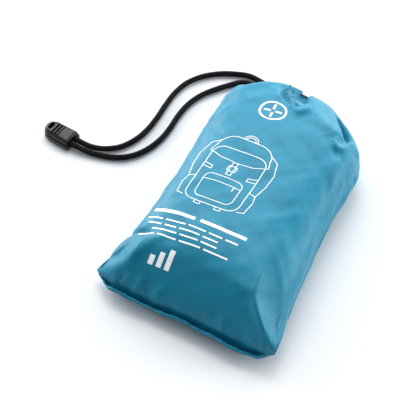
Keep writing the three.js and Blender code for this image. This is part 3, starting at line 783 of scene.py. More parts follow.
def cord_entry(side):
    along = np.array([math.cos(END_TURN), math.sin(END_TURN)])
    beside = np.array([-along[1], along[0]]) * side * (CORD_DIAMETER + SEAT_GAP) / 2.0
    at = [np.array(CORD_END_AT) + along * reach + beside for reach in (0.5, -END_POCKET_DEPTH + CORD_CLEARANCE)]
    return [(x, y, END_HEIGHT / 2.0) for x, y in at]


def lofted(name, rings):
    """A closed solid through rings of points with as many points each, flat at both ends."""
    count = len(rings[0])
    return face_outwards(new_object(name, np.concatenate(rings), ring_faces(len(rings), count)))


def end_outline(height, inset, half, open_at, nose_share=END_NOSE_SHARE, corner=1.4):
    """The cord end's outline at a height, drawn in by an inset: square at the cords' side and round at the nose."""
    wide, x_open = half - inset, open_at - inset
    nose = half * nose_share - inset
    x_nose = -END_LENGTH + half * nose_share
    round_by = max(0.2, corner - inset)
    turn = np.linspace(0.0, math.pi / 2, 7)
    points = [(x_open - round_by + round_by * math.cos(t), wide - round_by + round_by * math.sin(t)) for t in turn]
    points += [(mix(x_open - round_by, x_nose, k), mix(wide, nose, k)) for k in (0.25, 0.5, 0.75)]
    points += [(x_nose - nose * math.sin(t), nose * math.cos(t)) for t in np.linspace(0.0, math.pi, 25)]
    points += [(x, -y) for x, y in points[9:6:-1]] + [(x, -y) for x, y in points[6::-1]]
    return np.array([(x, y, height) for x, y in points])


def rounded_bar(low, high, corner, axis, steps=6):
    """A closed bar between two corners, with rounded edges along one axis."""
    low, high = np.array(low, float), np.array(high, float)
    a, b = [k for k in range(3) if k != axis]
    if axis == 1:
        a, b = b, a
    ring = []
    for quarter, (sa, sb) in enumerate(((1, 1), (0, 1), (0, 0), (1, 0))):
        hub_a = high[a] - corner if sa else low[a] + corner
        hub_b = high[b] - corner if sb else low[b] + corner
        for t in np.linspace(0.0, math.pi / 2, steps) + quarter * math.pi / 2:
            ring.append((hub_a + corner * math.cos(t), hub_b + corner * math.sin(t)))
    rings = []
    for end in (low[axis], high[axis]):
        points = np.empty((len(ring), 3))
        points[:, [a, b]] = ring
        points[:, axis] = end
        rings.append(points)
    return lofted("bar", rings)


def shaped(body, tool, operation):
    """Cuts a tool's form out of a body, or joins it on, and removes the tool."""
    step = body.modifiers.new("shape", "BOOLEAN")
    step.operation, step.solver, step.object = operation, "EXACT", tool
    made = bpy.data.meshes.new_from_object(body.evaluated_get(bpy.context.evaluated_depsgraph_get()))
    body.modifiers.clear()
    body.data = made
    bpy.data.objects.remove(tool)
    if not made.polygons:
        raise RuntimeError("a boolean step left nothing of the cord end")


def cord_end_shells():
    """The cord end's two moulded shells, with the pocket for the cords, the slot at the nose and the finger ribs."""
    half = CORD_DIAMETER + SEAT_GAP / 2.0 + CORD_CLEARANCE + END_SIDE_WALL
    middle = END_HEIGHT / 2.0
    base_rows = ((0.0, 1.7), (0.2, 0.9), (0.75, 0.3), (1.5, 0.0), (3.3, 0.0), (3.7, 0.1), (3.95, 0.4))
    cover_rows = ((4.15, 0.25), (4.3, 0.06), (5.2, 0.12), (6.0, 0.36), (6.55, 0.85), (6.87, 1.5), (7.0, 2.3))
    base = lofted("cord_end_lower_shell", [end_outline(z, inset, half + 0.5, 0.2) for z, inset in base_rows])
    cover = lofted("cord_end_upper_shell", [end_outline(z, inset, half - 0.15, -0.5) for z, inset in cover_rows])
    pocket = half - END_SIDE_WALL
    for shell in (base, cover):
        for low, high, corner, axis in (
            ((-END_POCKET_DEPTH, -pocket, middle - 2.25), (2.0, pocket, middle + 2.25), 2.1, 0),
            ((SLOT_FAR, -SLOT_REACH, -1.0), (SLOT_NEAR, SLOT_REACH, 8.0), 0.9, 2),
        ):
            shaped(shell, rounded_bar(low, high, corner, axis), "DIFFERENCE")
    for k in range(RIB_COUNT):
        far = RIB_START + RIB_PITCH * k
        rib = ((far, -RIB_REACH, END_HEIGHT - 0.6), (far + 1.1, RIB_REACH, END_HEIGHT + 0.75), 0.5, 1)
        shaped(cover, rounded_bar(*rib), "UNION")
        if k < RIB_COUNT - 1:
            groove = ((far + 1.2, -RIB_REACH, END_HEIGHT - 0.9), (far + 2.0, RIB_REACH, END_HEIGHT + 1.2), 0.3, 1)
            shaped(cover, rounded_bar(*groove), "DIFFERENCE")
    turn = Matrix.Translation(Vector((*CORD_END_AT, 0.0)) * MM) @ Matrix.Rotation(END_TURN, 4, "Z")
    for shell in (base, cover):
        shell.data.transform(turn)
        face_outwards(shell)
        shell.data.polygons.foreach_set("use_smooth", [True] * len(shell.data.polygons))
        shell.data.set_sharp_from_angle(angle=math.radians(38.0))
    return [(cover, "cord_end_cover"), (base, "cord_end_base")]


class PouchDrawcordOperator(bpy.types.Operator):
    """Makes the braided drawcord, with its loop inside the hem, its two strands and the moulded cord end"""

    bl_idname = "pouch.drawcord"
    bl_label = "Drawcord"

    def execute(self, context):
        settings = context.scene.pouch_cord
        radius = settings.diameter / MM / 2.0
        relief, pitch = settings.braid_relief / MM, settings.braid_pitch / MM
        braid = braided_polyester("Braided Black Polyester Cord", settings.cord_colour)
        turns = np.linspace(STRAND_B_TURN, 1.0 + STRAND_A_TURN, 61)
        loop, _, _ = braided_cord("drawcord_in_hem", mouth_points(turns), radius, relief, pitch)
        loop.data.materials.append(braid)
        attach(loop, "root")
        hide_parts("drawcord_loop")
        plastic = moulded_plastic("Moulded Black Acetal", settings.end_colour)
        shells = cord_end_shells()
        for shell, node in shells:
            shell.data.materials.append(plastic)
            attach(shell, "root")
            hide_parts(node)
        for letter, turn, route, side in (("a", STRAND_A_TURN, STRAND_A, 1.0), ("b", STRAND_B_TURN, STRAND_B, -1.0)):
            end, ahead = loop_direction(turn)
            lain = [(x, y, lift + CORD_DIAMETER / 2.0) for x, y, lift in route]
            points = [end, end + ahead * STRAND_LEAD, *lain, *cord_entry(side)]
            strand, line, length = braided_cord(f"drawcord_strand_{letter}_braid", points, radius, relief, pitch)
            strand.data.materials.append(braid)
            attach(strand, "root")
            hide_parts(f"drawcord_strand_{letter}")
        return {"FINISHED"}


AROUND_COUNT, ALONG_COUNT = 320, 200
HEM_ROWS, INNER_ROWS, INNER_STEP = 22, 56, 4
SEAM_TURNS = (80.0, 62.0, 40.0, 20.0)
# marks of the hem's inner edge and of the inner face's first row, in millimetres along the cloth
TURN_MARK, INNER_MARK = 190.0, 191.0

# The cloth's slight unevenness: waves round it, waves along it, height in millimetres and phase.
UNEVEN_WAVES = ((5, 3.1, 0.35, 0.4), (9, 5.3, 0.22, 1.9), (14, 8.7, 0.14, 4.1), (23, 13.0, 0.08, 2.6))

# The trial cloth that is simulated: its rows, and the frames that it runs for.
TRIAL_ROWS, TRIAL_FRAMES = 104, 20


def lengthwise(count):
    """Shares of the length, closer together at the two ends."""
    even = np.linspace(0.0, 1.0, count)
    return even - 0.6 * np.sin(2.0 * math.pi * even) / (2.0 * math.pi)


def crease_lift(around, along, points, share):
    """How far the drawn ridges and furrows lift each point of a grid, in millimetres."""
    lift = np.zeros(points.shape[:2])
    columns, rows = around[:, 0], along[0]
    for route, left, right, height in CREASES:
        route = np.array(route)
        count = 14 * (len(route) - 1) + 1
        t = np.linspace(0.0, len(route) - 1.0, count)
        u = np.interp(t, np.arange(len(route)), route[:, 0])
        v = np.interp(t, np.arange(len(route)), route[:, 1])
        i = np.round(u * len(columns)).astype(int) % len(columns)
        track = points[i, np.clip(np.searchsorted(rows, v), 0, len(rows) - 1)]
        fade = np.sin(np.linspace(0.12, 0.97, count) * math.pi) ** 0.6
        near = np.abs((around - u.mean() + 0.5) % 1.0 - 0.5) < 0.22
        flat = points[near]
        gap = np.linalg.norm(flat[:, None, :] - track[None, :, :], axis=2)
        nearest = gap.argmin(axis=1)
        least = gap[np.arange(len(flat)), nearest]
        beside = (around[near] - u[nearest] + 0.5) % 1.0 - 0.5
        width = np.where(beside > 0.0, left, right)
        lift[near] += height * share * fade[nearest] * bump(least, 0.0, width)
    return lift


def pouch_grid(share):
    """The pouch's outer face as a grid, before the simulation: shares along, points, normals, lift and rim."""
    around = np.arange(AROUND_COUNT) / AROUND_COUNT
    along = lengthwise(ALONG_COUNT)
    u, v = np.meshgrid(around, along, indexing="ij")
    plain = cloth_points(u, v)
    points = draw_over_cord(plain, v)
    normals = grid_normals(points)
    lift = crease_lift(u, v, points, share)
    # small gathers that the drawcord draws up along the mouth
    gathers = np.cos(2.0 * math.pi * (27.0 * u + 0.35 * np.sin(2.0 * math.pi * 3.0 * u)))
    tight = smooth(np.sin(2.0 * math.pi * u), -0.3, 0.4)
    lift += mix(0.55, 0.04, tight) * gathers * smooth(v, 0.93, 0.98) * (1.0 - smooth(v, 0.985, 1.0))
    # slow hand-made unevenness over the whole cloth
    ends = smooth(v, 0.02, 0.12) * (1.0 - smooth(v, 0.9, 0.99))
    for waves, rows, size, phase in UNEVEN_WAVES:
        round_it = np.sin(2.0 * math.pi * waves * u + phase + 2.0 * np.sin(rows * v * 2.0 + phase))
        lift += size * round_it * np.sin(2.0 * math.pi * rows * v + phase * 2.0) * ends
    return v, points, normals, lift, plain[:, -1]


# paths that one operator leaves for the next, in millimetres
SEAM_PATHS = {}


def seam_path(outer, v):
    """The base seam's furrow over the top panel, from the left corner to the right one."""
    path = []
    for i in range(int(AROUND_COUNT * 0.44), int(AROUND_COUNT * 0.078), -2):
        low = outer[i, int(np.searchsorted(v[0], 0.57 * SEAM_STRIP))]
        path.append(low + np.array([0.0, -0.15, 0.2]))
    return path


def hem_cover(turn):
    """1 where the cloth goes round the cord as a tunnel and 0 where the strands leave it."""
    cover = np.zeros_like(turn)
    for low, high in HEM_SPANS:
        mid, half = (low + high) / 2.0, (high - low) / 2.0
        off = np.abs((turn - mid + 0.5) % 1.0 - 0.5)
        cover = np.maximum(cover, 1.0 - smooth(off, half - 0.008, half + 0.012))
    return cover


def hem_circle(rim):
    """Where the cloth turns over the cord: each column's centre, radius, first angle, outward direction and axis."""
    turn = np.arange(AROUND_COUNT) / AROUND_COUNT
    centre = mouth_points(turn)
    tangent = unit(np.roll(centre, -1, axis=0) - np.roll(centre, 1, axis=0))
    axis = unit(np.array([-MOUTH_TURN, 1.0, 0.0]))
    outward = unit(np.cross(tangent, axis))
    middle = np.array([MOUTH_X, centre[:, 1].mean(), MOUTH_Z])
    if ((centre - middle) * outward).sum(axis=1).mean() < 0.0:
        outward = -outward
    cover = hem_cover(turn)
    # in the small gap at the top the edge clasps the cord's lower side, so that only the cord's top is bare
    clasp = 1.0 - smooth(np.abs(turn - np.mean(BARE_CORD)), 0.5 * (BARE_CORD[1] - BARE_CORD[0]), 0.03)
    # the gathers stay small over the top, where the cloth is drawn tight
    loose = mix(1.0, 0.1, smooth(np.sin(2.0 * math.pi * turn), -0.2, 0.4))
    gathers = GATHER_DEPTH * loose * np.cos(2.0 * math.pi * (18.0 * turn + 0.2 * np.sin(2.0 * math.pi * 5.0 * turn)))
    fine = 0.16 * loose * np.cos(2.0 * math.pi * 41.0 * turn + 1.0)
    radius = mix(0.75, HEM_RADIUS + 0.1 + gathers * 0.8 + fine, cover)
    radius = mix(radius, CORD_DIAMETER / 2.0 + 0.75, clasp)
    start = np.radians(mix(HEM_TURN, CLASP_TURN, clasp))
    seat = mix(rim + axis * 0.5, centre, np.maximum(cover, clasp)[:, None])
    return seat, radius, start, clasp, outward, axis


def draw_over_cord(outer, v):
    """Carries the far rows of the grid in one smooth sheet up to where the hem turns over the cord."""
    seat, radius, lean, _, outward, axis = hem_circle(outer[:, -1])
    top = seat + radius[:, None] * (np.cos(lean)[:, None] * outward + np.sin(lean)[:, None] * axis)
    over = np.cos(lean)[:, None] * axis - np.sin(lean)[:, None] * outward
    start = int(np.searchsorted(v[0], 0.925))
    run = outer[:, start + 1] - outer[:, start - 1]
    first = outer[:, start]
    span = np.linalg.norm(top - first, axis=1, keepdims=True)
    t = np.linspace(0.0, 1.0, ALONG_COUNT - start)[None, :, None]
    a, d = first[:, None], top[:, None]
    b = a + (unit(run) * span * 0.42)[:, None]
    c = d - (over * span * 0.3)[:, None]
    sheet = (1 - t) ** 3 * a + 3 * (1 - t) ** 2 * t * b + 3 * (1 - t) * t * t * c + t**3 * d
    outer = outer.copy()
    outer[:, start:] = sheet
    return outer


def hem_rows(rim):
    """Rows of cloth from the top of the hem over the cord and back to the rim's inner side."""
    seat, radius, start, clasp, outward, axis = hem_circle(rim)
    rows = []
    for k in range(1, HEM_ROWS + 1):
        share = k / HEM_ROWS
        # round the whole cord in the tunnel, and folded back under itself where the cord is bare
        angle = mix(mix(start, math.radians(HEM_END), share), mix(start, math.radians(CLASP_END), share), clasp)
        away = radius - clasp * 0.45 * min(1.0, 4.0 * share)
        rows.append(seat + away[:, None] * (np.cos(angle)[:, None] * outward + np.sin(angle)[:, None] * axis))
    return rows


def spread_out(coarse, column_step, rows, all_rows):
    """Values at every point of the grid from those at every few columns and at some of the rows."""
    wide = np.concatenate([coarse, coarse[:1]])
    columns = np.arange(AROUND_COUNT) / column_step
    low = np.floor(columns).astype(int)
    part = smooth(columns - low, 0.0, 1.0)[:, None, None] * 0.5 + (columns - low)[:, None, None] * 0.5
    across = mix(wide[low], wide[low + 1], part)
    out = np.empty((AROUND_COUNT, len(all_rows), 3))
    for i in range(AROUND_COUNT):
        for axis in range(3):
            out[i, :, axis] = np.interp(all_rows, rows, across[i, :, axis])
    return out


def blurred(values, reach):
    """A grid's values averaged over a square of points, round and along."""
    out = sum(np.roll(values, k, axis=0) for k in range(-reach, reach + 1)) / (2 * reach + 1)
    padded = np.concatenate([out[:, :1]] * reach + [out] + [out[:, -1:]] * reach, axis=1)
    return sum(padded[:, k : k + values.shape[1]] for k in range(2 * reach + 1)) / (2 * reach + 1)


def simulated_wrinkles(outer, v, limit):
    """Blows the stuffed cloth up in a short cloth simulation with a little spare cloth, and returns how far it moves
    each point of the grid without the slow swell, in millimetres."""
    step = 4
    rows = np.unique(np.linspace(2, ALONG_COUNT - 4, TRIAL_ROWS).astype(int))
    coarse = outer[::step][:, rows]
    count, along = coarse.shape[:2]
    scale = 6.0
    start = coarse.transpose(1, 0, 2).reshape(-1, 3) * MM * scale
    faces = ring_faces(along, count, closed_ends=False)
    mesh = bpy.data.meshes.new("cloth_trial")
    mesh.from_pydata(start.tolist(), [], faces)
    trial = bpy.data.objects.new("cloth_trial", mesh)
    bpy.context.scene.collection.objects.link(trial)
    held = trial.vertex_groups.new(name="held")
    place = np.repeat(v[0][rows], count)
    low = (start[:, 2] < 0.9 * MM * scale) | (place < 0.012) | (place > 0.955)
    held.add(np.nonzero(low)[0].tolist(), 1.0, "REPLACE")
    cloth = trial.modifiers.new("cloth", "CLOTH")
    for name, value in (
        ("quality", 6), ("mass", 0.25), ("tension_stiffness", 25.0), ("compression_stiffness", 25.0),
        ("shear_stiffness", 8.0), ("bending_stiffness", 0.6), ("vertex_group_mass", "held"), ("shrink_min", -0.03),
        ("use_pressure", True), ("uniform_pressure_force", 4.0),
    ):
        setattr(cloth.settings, name, value)
    cloth.settings.effector_weights.gravity = 0.0
    cloth.collision_settings.use_collision = False
    scene = bpy.context.scene
    for number in range(1, TRIAL_FRAMES + 1):
        scene.frame_set(number)
    evaluated = trial.evaluated_get(bpy.context.evaluated_depsgraph_get())
    moved = np.empty(len(start) * 3)
    evaluated.data.vertices.foreach_get("co", moved)
    scene.frame_set(1)
    shift = (moved.reshape(-1, 3) - start) / (MM * scale)
    shift = shift.reshape(along, count, 3).transpose(1, 0, 2)
    bpy.data.objects.remove(trial)
    shift = spread_out(shift, step, v[0][rows], v[0])
    if not np.isfinite(shift).all():
        raise RuntimeError("the cloth simulation gave no usable result")
    wrinkles = blurred(shift, 2) - 0.85 * blurred(blurred(shift, 14), 10)
    size = np.linalg.norm(wrinkles, axis=-1, keepdims=True)
    return wrinkles * np.minimum(1.0, limit / np.maximum(size, 1e-6))


def turned_seam(base):
    """Rows that roll the cloth's edge at the base over to a thin seam."""
    middle = base[:, 2].mean()
    scallop = 1.0 + 0.2 * np.sin(base[:, 0] * 0.3) + 0.1 * np.sin(base[:, 0] * 0.63 + 1.0)
    rows = []
    for turn in SEAM_TURNS:
        row = base.copy()
        row[:, 2] = middle + (base[:, 2] - middle) * math.cos(math.radians(turn))
        row[:, 1] = base[:, 1] - 1.3 * scallop * math.sin(math.radians(turn))
        rows.append(row)
    return rows


def inner_face(points, normals, lift, wall):
    """Rows of the inner face, on a few lines of the grid and below the deepest fold around each point."""
    deep = np.minimum(lift, 0.0)
    for shift in range(-5, 6):
        deep = np.minimum(deep, np.roll(np.minimum(lift, 0.0), shift, axis=0))
    spread = deep.copy()
    for shift in range(1, 5):
        spread[:, shift:] = np.minimum(spread[:, shift:], deep[:, :-shift])
        spread[:, :-shift] = np.minimum(spread[:, :-shift], deep[:, shift:])
    inner = points + normals * (spread - wall)[..., None]
    inner[..., 2] = np.maximum(inner[..., 2], wall)
    picks = np.unique(np.linspace(ALONG_COUNT - 3, 12, INNER_ROWS).astype(int))[::-1]
    return [inner[::INNER_STEP, j] for j in picks]


def cloth_faces(marks, inner_count):
    """Faces and UVs of the closed cloth: its flat base, outer face and hem at the rows' marks, a turn to the coarser
    inner face, and that face with its own flat base."""
    count, coarse = AROUND_COUNT, AROUND_COUNT // INNER_STEP
    faces, uvs = [], []

    def corners(*places, per=count):
        uvs.extend((i * CLOTH_GIRTH / per, mark) for i, mark in places)

    def flat_end(first, per, low=None, high=None):
        half = per // 2
        faces.append((first, first + 1, first + per - 1))
        uvs.extend([(0.0, 0.0)] * 3)
        for i in range(1, half - 1):
            faces.append((first + i, first + i + 1, first + per - i - 1, first + per - i))
            if low is None:
                uvs.extend([(0.0, 0.0)] * 4)
            else:
                corners((i, low), (i + 1, low), (i + 1, high), (i, high), per=per)
        faces.append((first + half - 1, first + half, first + half + 1))
        uvs.extend([(0.0, 0.0)] * 3)

    def band(first, per, marks):
        for r, (low_mark, high_mark) in enumerate(zip(marks[:-1], marks[1:])):
            low, high = first + r * per, first + (r + 1) * per
            for i in range(per):
                j = (i + 1) % per
                faces.append((low + i, high + i, high + j, low + j))
                corners((i, low_mark), (i, high_mark), (i + 1, high_mark), (i + 1, low_mark), per=per)

    flat_end(0, count, -2.0, -2.2)
    band(0, count, marks)
    last, first_inner = (len(marks) - 1) * count, len(marks) * count
    for c in range(coarse):
        hub, beyond = first_inner + c, first_inner + (c + 1) % coarse
        for s in range(INNER_STEP):
            i = INNER_STEP * c + s
            faces.append((last + i, hub if s < INNER_STEP // 2 else beyond, last + (i + 1) % count))
            corners((i, TURN_MARK), (i, INNER_MARK), (i + 1, TURN_MARK))
        i = INNER_STEP * c
        faces.append((last + i + INNER_STEP // 2, hub, beyond))
        corners((i + INNER_STEP // 2, TURN_MARK), (i, INNER_MARK), (i + INNER_STEP, INNER_MARK))
    band(first_inner, coarse, INNER_MARK + 2.5 * np.arange(inner_count))
    flat_end(first_inner + (inner_count - 1) * coarse, coarse)
    return faces, uvs


class PouchClothOperator(bpy.types.Operator):
    """Makes the pouch's cloth with its base seam, folds, gathered mouth and hem"""

    bl_idname = "pouch.cloth"
    bl_label = "Pouch Cloth"

    def execute(self, context):
        settings = context.scene.pouch_cloth
        v, points, normals, lift, rim = pouch_grid(settings.fold_depth)
        outer = points + normals * lift[..., None]
        outer[..., 2] = np.maximum(outer[..., 2], 0.0)
        ends = (smooth(v, 0.012, 0.04) * (1.0 - smooth(v, 0.84, 0.93)))[..., None]
        wrinkles = simulated_wrinkles(outer, v, settings.swell / MM) * ends
        outer = outer + wrinkles
        lift = lift + (wrinkles * normals).sum(axis=-1)
        outer[..., 2] = np.maximum(outer[..., 2], 0.0)
        SEAM_PATHS["base"] = seam_path(outer, v)
        rows = [*turned_seam(outer[:, 0]), *(outer[:, j] for j in range(ALONG_COUNT)), *hem_rows(rim)]
        inner_rows = inner_face(points, normals, lift, settings.wall / MM)
        all_points = np.concatenate([*rows, *inner_rows])
        seam_marks = -0.4 * np.arange(len(SEAM_TURNS), 0, -1)
        marks = np.concatenate([seam_marks, v[0] * CLOTH_LENGTH, CLOTH_LENGTH + np.linspace(0.8, 18.0, HEM_ROWS)])
        faces, uvs = cloth_faces(marks, len(inner_rows))
        pouch = face_outwards(new_object("pouch_cloth_shell", all_points, faces, uvs))
        cloth = woven_polyester(
            "Woven Teal Polyester Taffeta", settings.cloth_colour, settings.sheen_colour, settings.rib_spacing
        )
        pouch.data.materials.append(cloth)
        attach(pouch, "root")
        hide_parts("pouch_body", "hem_channel_front", "hem_channel_back")
        return {"FINISHED"}


class PouchBundleOperator(bpy.types.Operator):
    """Makes the folded backpack that fills the pouch"""

    bl_idname = "pouch.bundle"
    bl_label = "Folded Backpack"

    def execute(self, context):
        settings = context.scene.pouch_cloth
        around = np.arange(BUNDLE_SIDES) / BUNDLE_SIDES
        along = mix(BUNDLE_START, BUNDLE_END, lengthwise(72))
        u, v = np.meshgrid(around, along, indexing="ij")
        points = cloth_points(u, v, BUNDLE_INSET)
        normals = grid_normals(points)
        # the turned-over layers of the folded backpack, kept below the pouch's inner face
        layers = 0.35 * np.cos(2.0 * math.pi * points[..., 2] / 8.5) - 0.45
        wrinkles = 0.25 * np.sin(2.0 * math.pi * (7.0 * u + 3.0 * v)) * np.sin(2.0 * math.pi * 6.0 * v)
        deep = np.minimum(crease_lift(u, v, cloth_points(u, v), settings.fold_depth), 0.0)
        for shift in (1, 2):
            deep = np.minimum(deep, np.minimum(np.roll(deep, shift, axis=0), np.roll(deep, -shift, axis=0)))
        points = points + normals * (layers + wrinkles - 0.4 + deep)[..., None]
        points[..., 2] = np.maximum(points[..., 2], BUNDLE_INSET)
        rows = [points[:, j] for j in range(points.shape[1])]
        closing = [[mix(row, row.mean(axis=0), share) for share in (0.5, 0.8)] for row in (rows[0], rows[-1])]
        rows = closing[0][::-1] + rows + closing[1]
        faces = ring_faces(len(rows), BUNDLE_SIDES)
        uvs = ring_uvs(2.2 * np.arange(len(rows)), BUNDLE_SIDES, 2.4)
        bundle = face_outwards(new_object("folded_backpack_bundle", np.concatenate(rows), faces, uvs))
        cloth = woven_polyester(
            "Woven Teal Polyester Backpack Cloth", settings.bundle_colour, settings.sheen_colour, settings.rib_spacing
        )
        bundle.data.materials.append(cloth)
        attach(bundle, "root")
        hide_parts("folded_backpack")
        return {"FINISHED"}


# --- The print: a plain line drawing of a rucksack, rules and a level mark, in millimetres from its middle ---


def arc(x, y, rx, ry, start, end, count=14):
    turn = np.radians(np.linspace(start, end, count))
    return [(x + rx * math.cos(t), y + ry * math.sin(t)) for t in turn]


def rounded_box(left, low, right, high, corner):
    return (
        arc(right - corner, high - corner, corner, corner, 0, 90, 7)
        + arc(left + corner, high - corner, corner, corner, 90, 180, 7)
        + arc(left + corner, low + corner, corner, corner, 180, 270, 7)
        + arc(right - corner, low + corner, corner, corner, 270, 360, 7)
        + [(right, high - corner)]
    )


PRINT_AT, PRINT_TURN = (-14.0, 1.0), -4.5
FINE_LINE, BOLD_LINE = 0.42, 0.46


def print_strokes():
    """Strokes as (points, width). A filled bar is a stroke as wide as the bar is high."""
    strokes = []

    def line(points, width=FINE_LINE):
        strokes.append((np.array(points, float), width))

    # body, lid with its buckle strap, grab loop
    line(rounded_box(-16.5, -25.0, 16.5, 17.0, 6.5), BOLD_LINE)
    line(arc(-7.0, 17.0, 9.5, 9.0, 180, 95) + arc(7.0, 17.0, 9.5, 9.0, 85, 0), BOLD_LINE)
    line([(-16.5, 17.0), (-18.0, 12.0), (-10.0, 9.0), (0.0, 8.0), (10.0, 9.0), (18.0, 12.0), (16.5, 17.0)])
    line(arc(0.0, 26.0, 4.2, 4.2, 180, 0, 9))
    line(arc(0.0, 26.0, 2.8, 2.8, 180, 0, 9))
    line([(-1.4, 8.0), (-1.4, -2.0), (1.4, -2.0), (1.4, 8.0)])
    line(rounded_box(-2.6, 1.0, 2.6, 5.0, 1.0))
    # front pocket with its zip and two small feet
    line(rounded_box(-11.5, -21.5, 11.5, -4.0, 4.0))
    line([(-11.5, -9.0), (-4.0, -8.3), (4.0, -8.3), (11.5, -9.0)])
    line([(7.5, -8.6), (7.5, -12.0)])
    for side in (-1.0, 1.0):
        # side pocket, compression straps and shoulder strap
        line([(side * x, y) for x, y in ((16.5, -8.0), (20.5, -9.0), (21.5, -14.0), (20.5, -22.5), (16.5, -23.5))])
        line([(side * 16.5, 2.5), (side * 11.0, 1.0), (side * 11.0, -1.2), (side * 16.5, -0.2)])
        line([(side * x, y) for x, y in ((15.0, 21.5), (20.5, 18.0), (23.0, 9.0), (22.6, 0.0), (20.5, -9.0))])
        line([(side * 8.0, -25.0), (side * 8.0, -27.0), (side * 4.5, -27.0), (side * 4.5, -25.0)])
    # rules: a heading in two bars and four rows of short dashes
    line([(-26.0, -37.2), (-1.2, -37.2)], 2.1)
    line([(2.2, -37.2), (30.0, -37.2)], 2.1)
    rows = (
        (-42.6, (-27.0, 9.0, 12.0, 10.5, 8.0, 7.5)),
        (-46.0, (-25.0, 8.0, 7.0, 12.5, 9.0)),
        (-49.4, (-21.0, 15.0, 11.0, 9.5)),
        (-52.8, (-28.0, 10.0, 11.5, 13.0, 14.5)),
    )
    for y, (x, *words) in rows:
        for word in words:
            line([(x, y), (x + word, y)], 0.9)
            x += word + 1.9
    # a mark of three rising bars
    for x, high in ((-12.5, 4.2), (-7.5, 6.6), (-2.5, 9.0)):
        line([(x, -67.6), (x, -67.6 + high)], 3.0)
    # a ring with four short lines at the far end
    x, y = -1.0, 55.0
    line(arc(x, y, 7.6, 7.6, 0, 360, 40), 1.2)
    for turn in (0, 90, 180, 270):
        t = math.radians(turn + 8.0)
        line([(x + reach * math.cos(t), y + reach * math.sin(t)) for reach in (1.4, 5.4)], 1.3)
    return strokes


def even_stroke(points, step):
    run = np.concatenate([[0.0], np.cumsum(np.linalg.norm(np.diff(points, axis=0), axis=1))])
    places = np.unique(np.concatenate([np.linspace(0.0, run[-1], max(3, int(run[-1] / step) + 1)), run]))
    places = places[np.concatenate([[True], np.diff(places) > 1e-3])]
    return np.stack([np.interp(places, run, points[:, i]) for i in range(2)], axis=-1)


class PouchPrintOperator(bpy.types.Operator):
    """Prints the line drawing, the rules and the marks on the top of the pouch's cloth"""

    bl_idname = "pouch.print"
    bl_label = "Screen Print"

    def execute(self, context):
        settings = context.scene.pouch_trim
        cloth = bpy.data.objects["pouch_cloth_shell"]
        tree = BVHTree.FromObject(cloth, context.evaluated_depsgraph_get())
        turn = math.radians(PRINT_TURN)
        film = settings.ink_film
        verts, faces = [], []
        for points, width in print_strokes():
            line = even_stroke(points, 0.7)
            ahead = unit(np.gradient(line, axis=0))
            side = np.stack([-ahead[:, 1], ahead[:, 0]], axis=-1)
            closed = np.linalg.norm(points[0] - points[-1]) < 1e-6
            if closed:
                middle = unit(side[0] + side[-1])
                side[0] = side[-1] = middle
            lanes = max(2, int(width / 0.8) + 2)
            first = len(verts)
            for place, across in zip(line, side):
                tops, lows = [], []
                for lane in np.linspace(-0.5, 0.5, lanes):
                    x, y = place + across * width * lane
                    at = Vector(
                        (
                            (PRINT_AT[0] + x * math.cos(turn) - y * math.sin(turn)) * MM,
                            (PRINT_AT[1] + x * math.sin(turn) + y * math.cos(turn)) * MM,
                            0.08,
                        )
                    )
                    hit, normal, _, _ = tree.ray_cast(at, Vector((0.0, 0.0, -1.0)))
                    if hit is None:
                        raise RuntimeError("the print reaches past the cloth")
                    tops.append(hit + normal * film)
                    lows.append(hit - normal * film)
                verts += [tuple(v) for v in tops + lows[::-1]]
            per = 2 * lanes
            for k in range(len(line) - 1):
                low, high = first + k * per, first + (k + 1) * per
                for i in range(per):
                    j = (i + 1) % per
                    faces.append((low + i, low + j, high + j, high + i))
            faces.append(tuple(first + i for i in range(per))[::-1])
            faces.append(tuple(first + (len(line) - 1) * per + i for i in range(per)))
        ink = new_object("screen_print", np.array(verts) / MM, faces, smooth_shading=False)
        face_outwards(ink)
        ink.data.materials.append(screen_print("White Plastisol Screen Print", settings.ink_colour))
        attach(ink, "root")
        return {"FINISHED"}


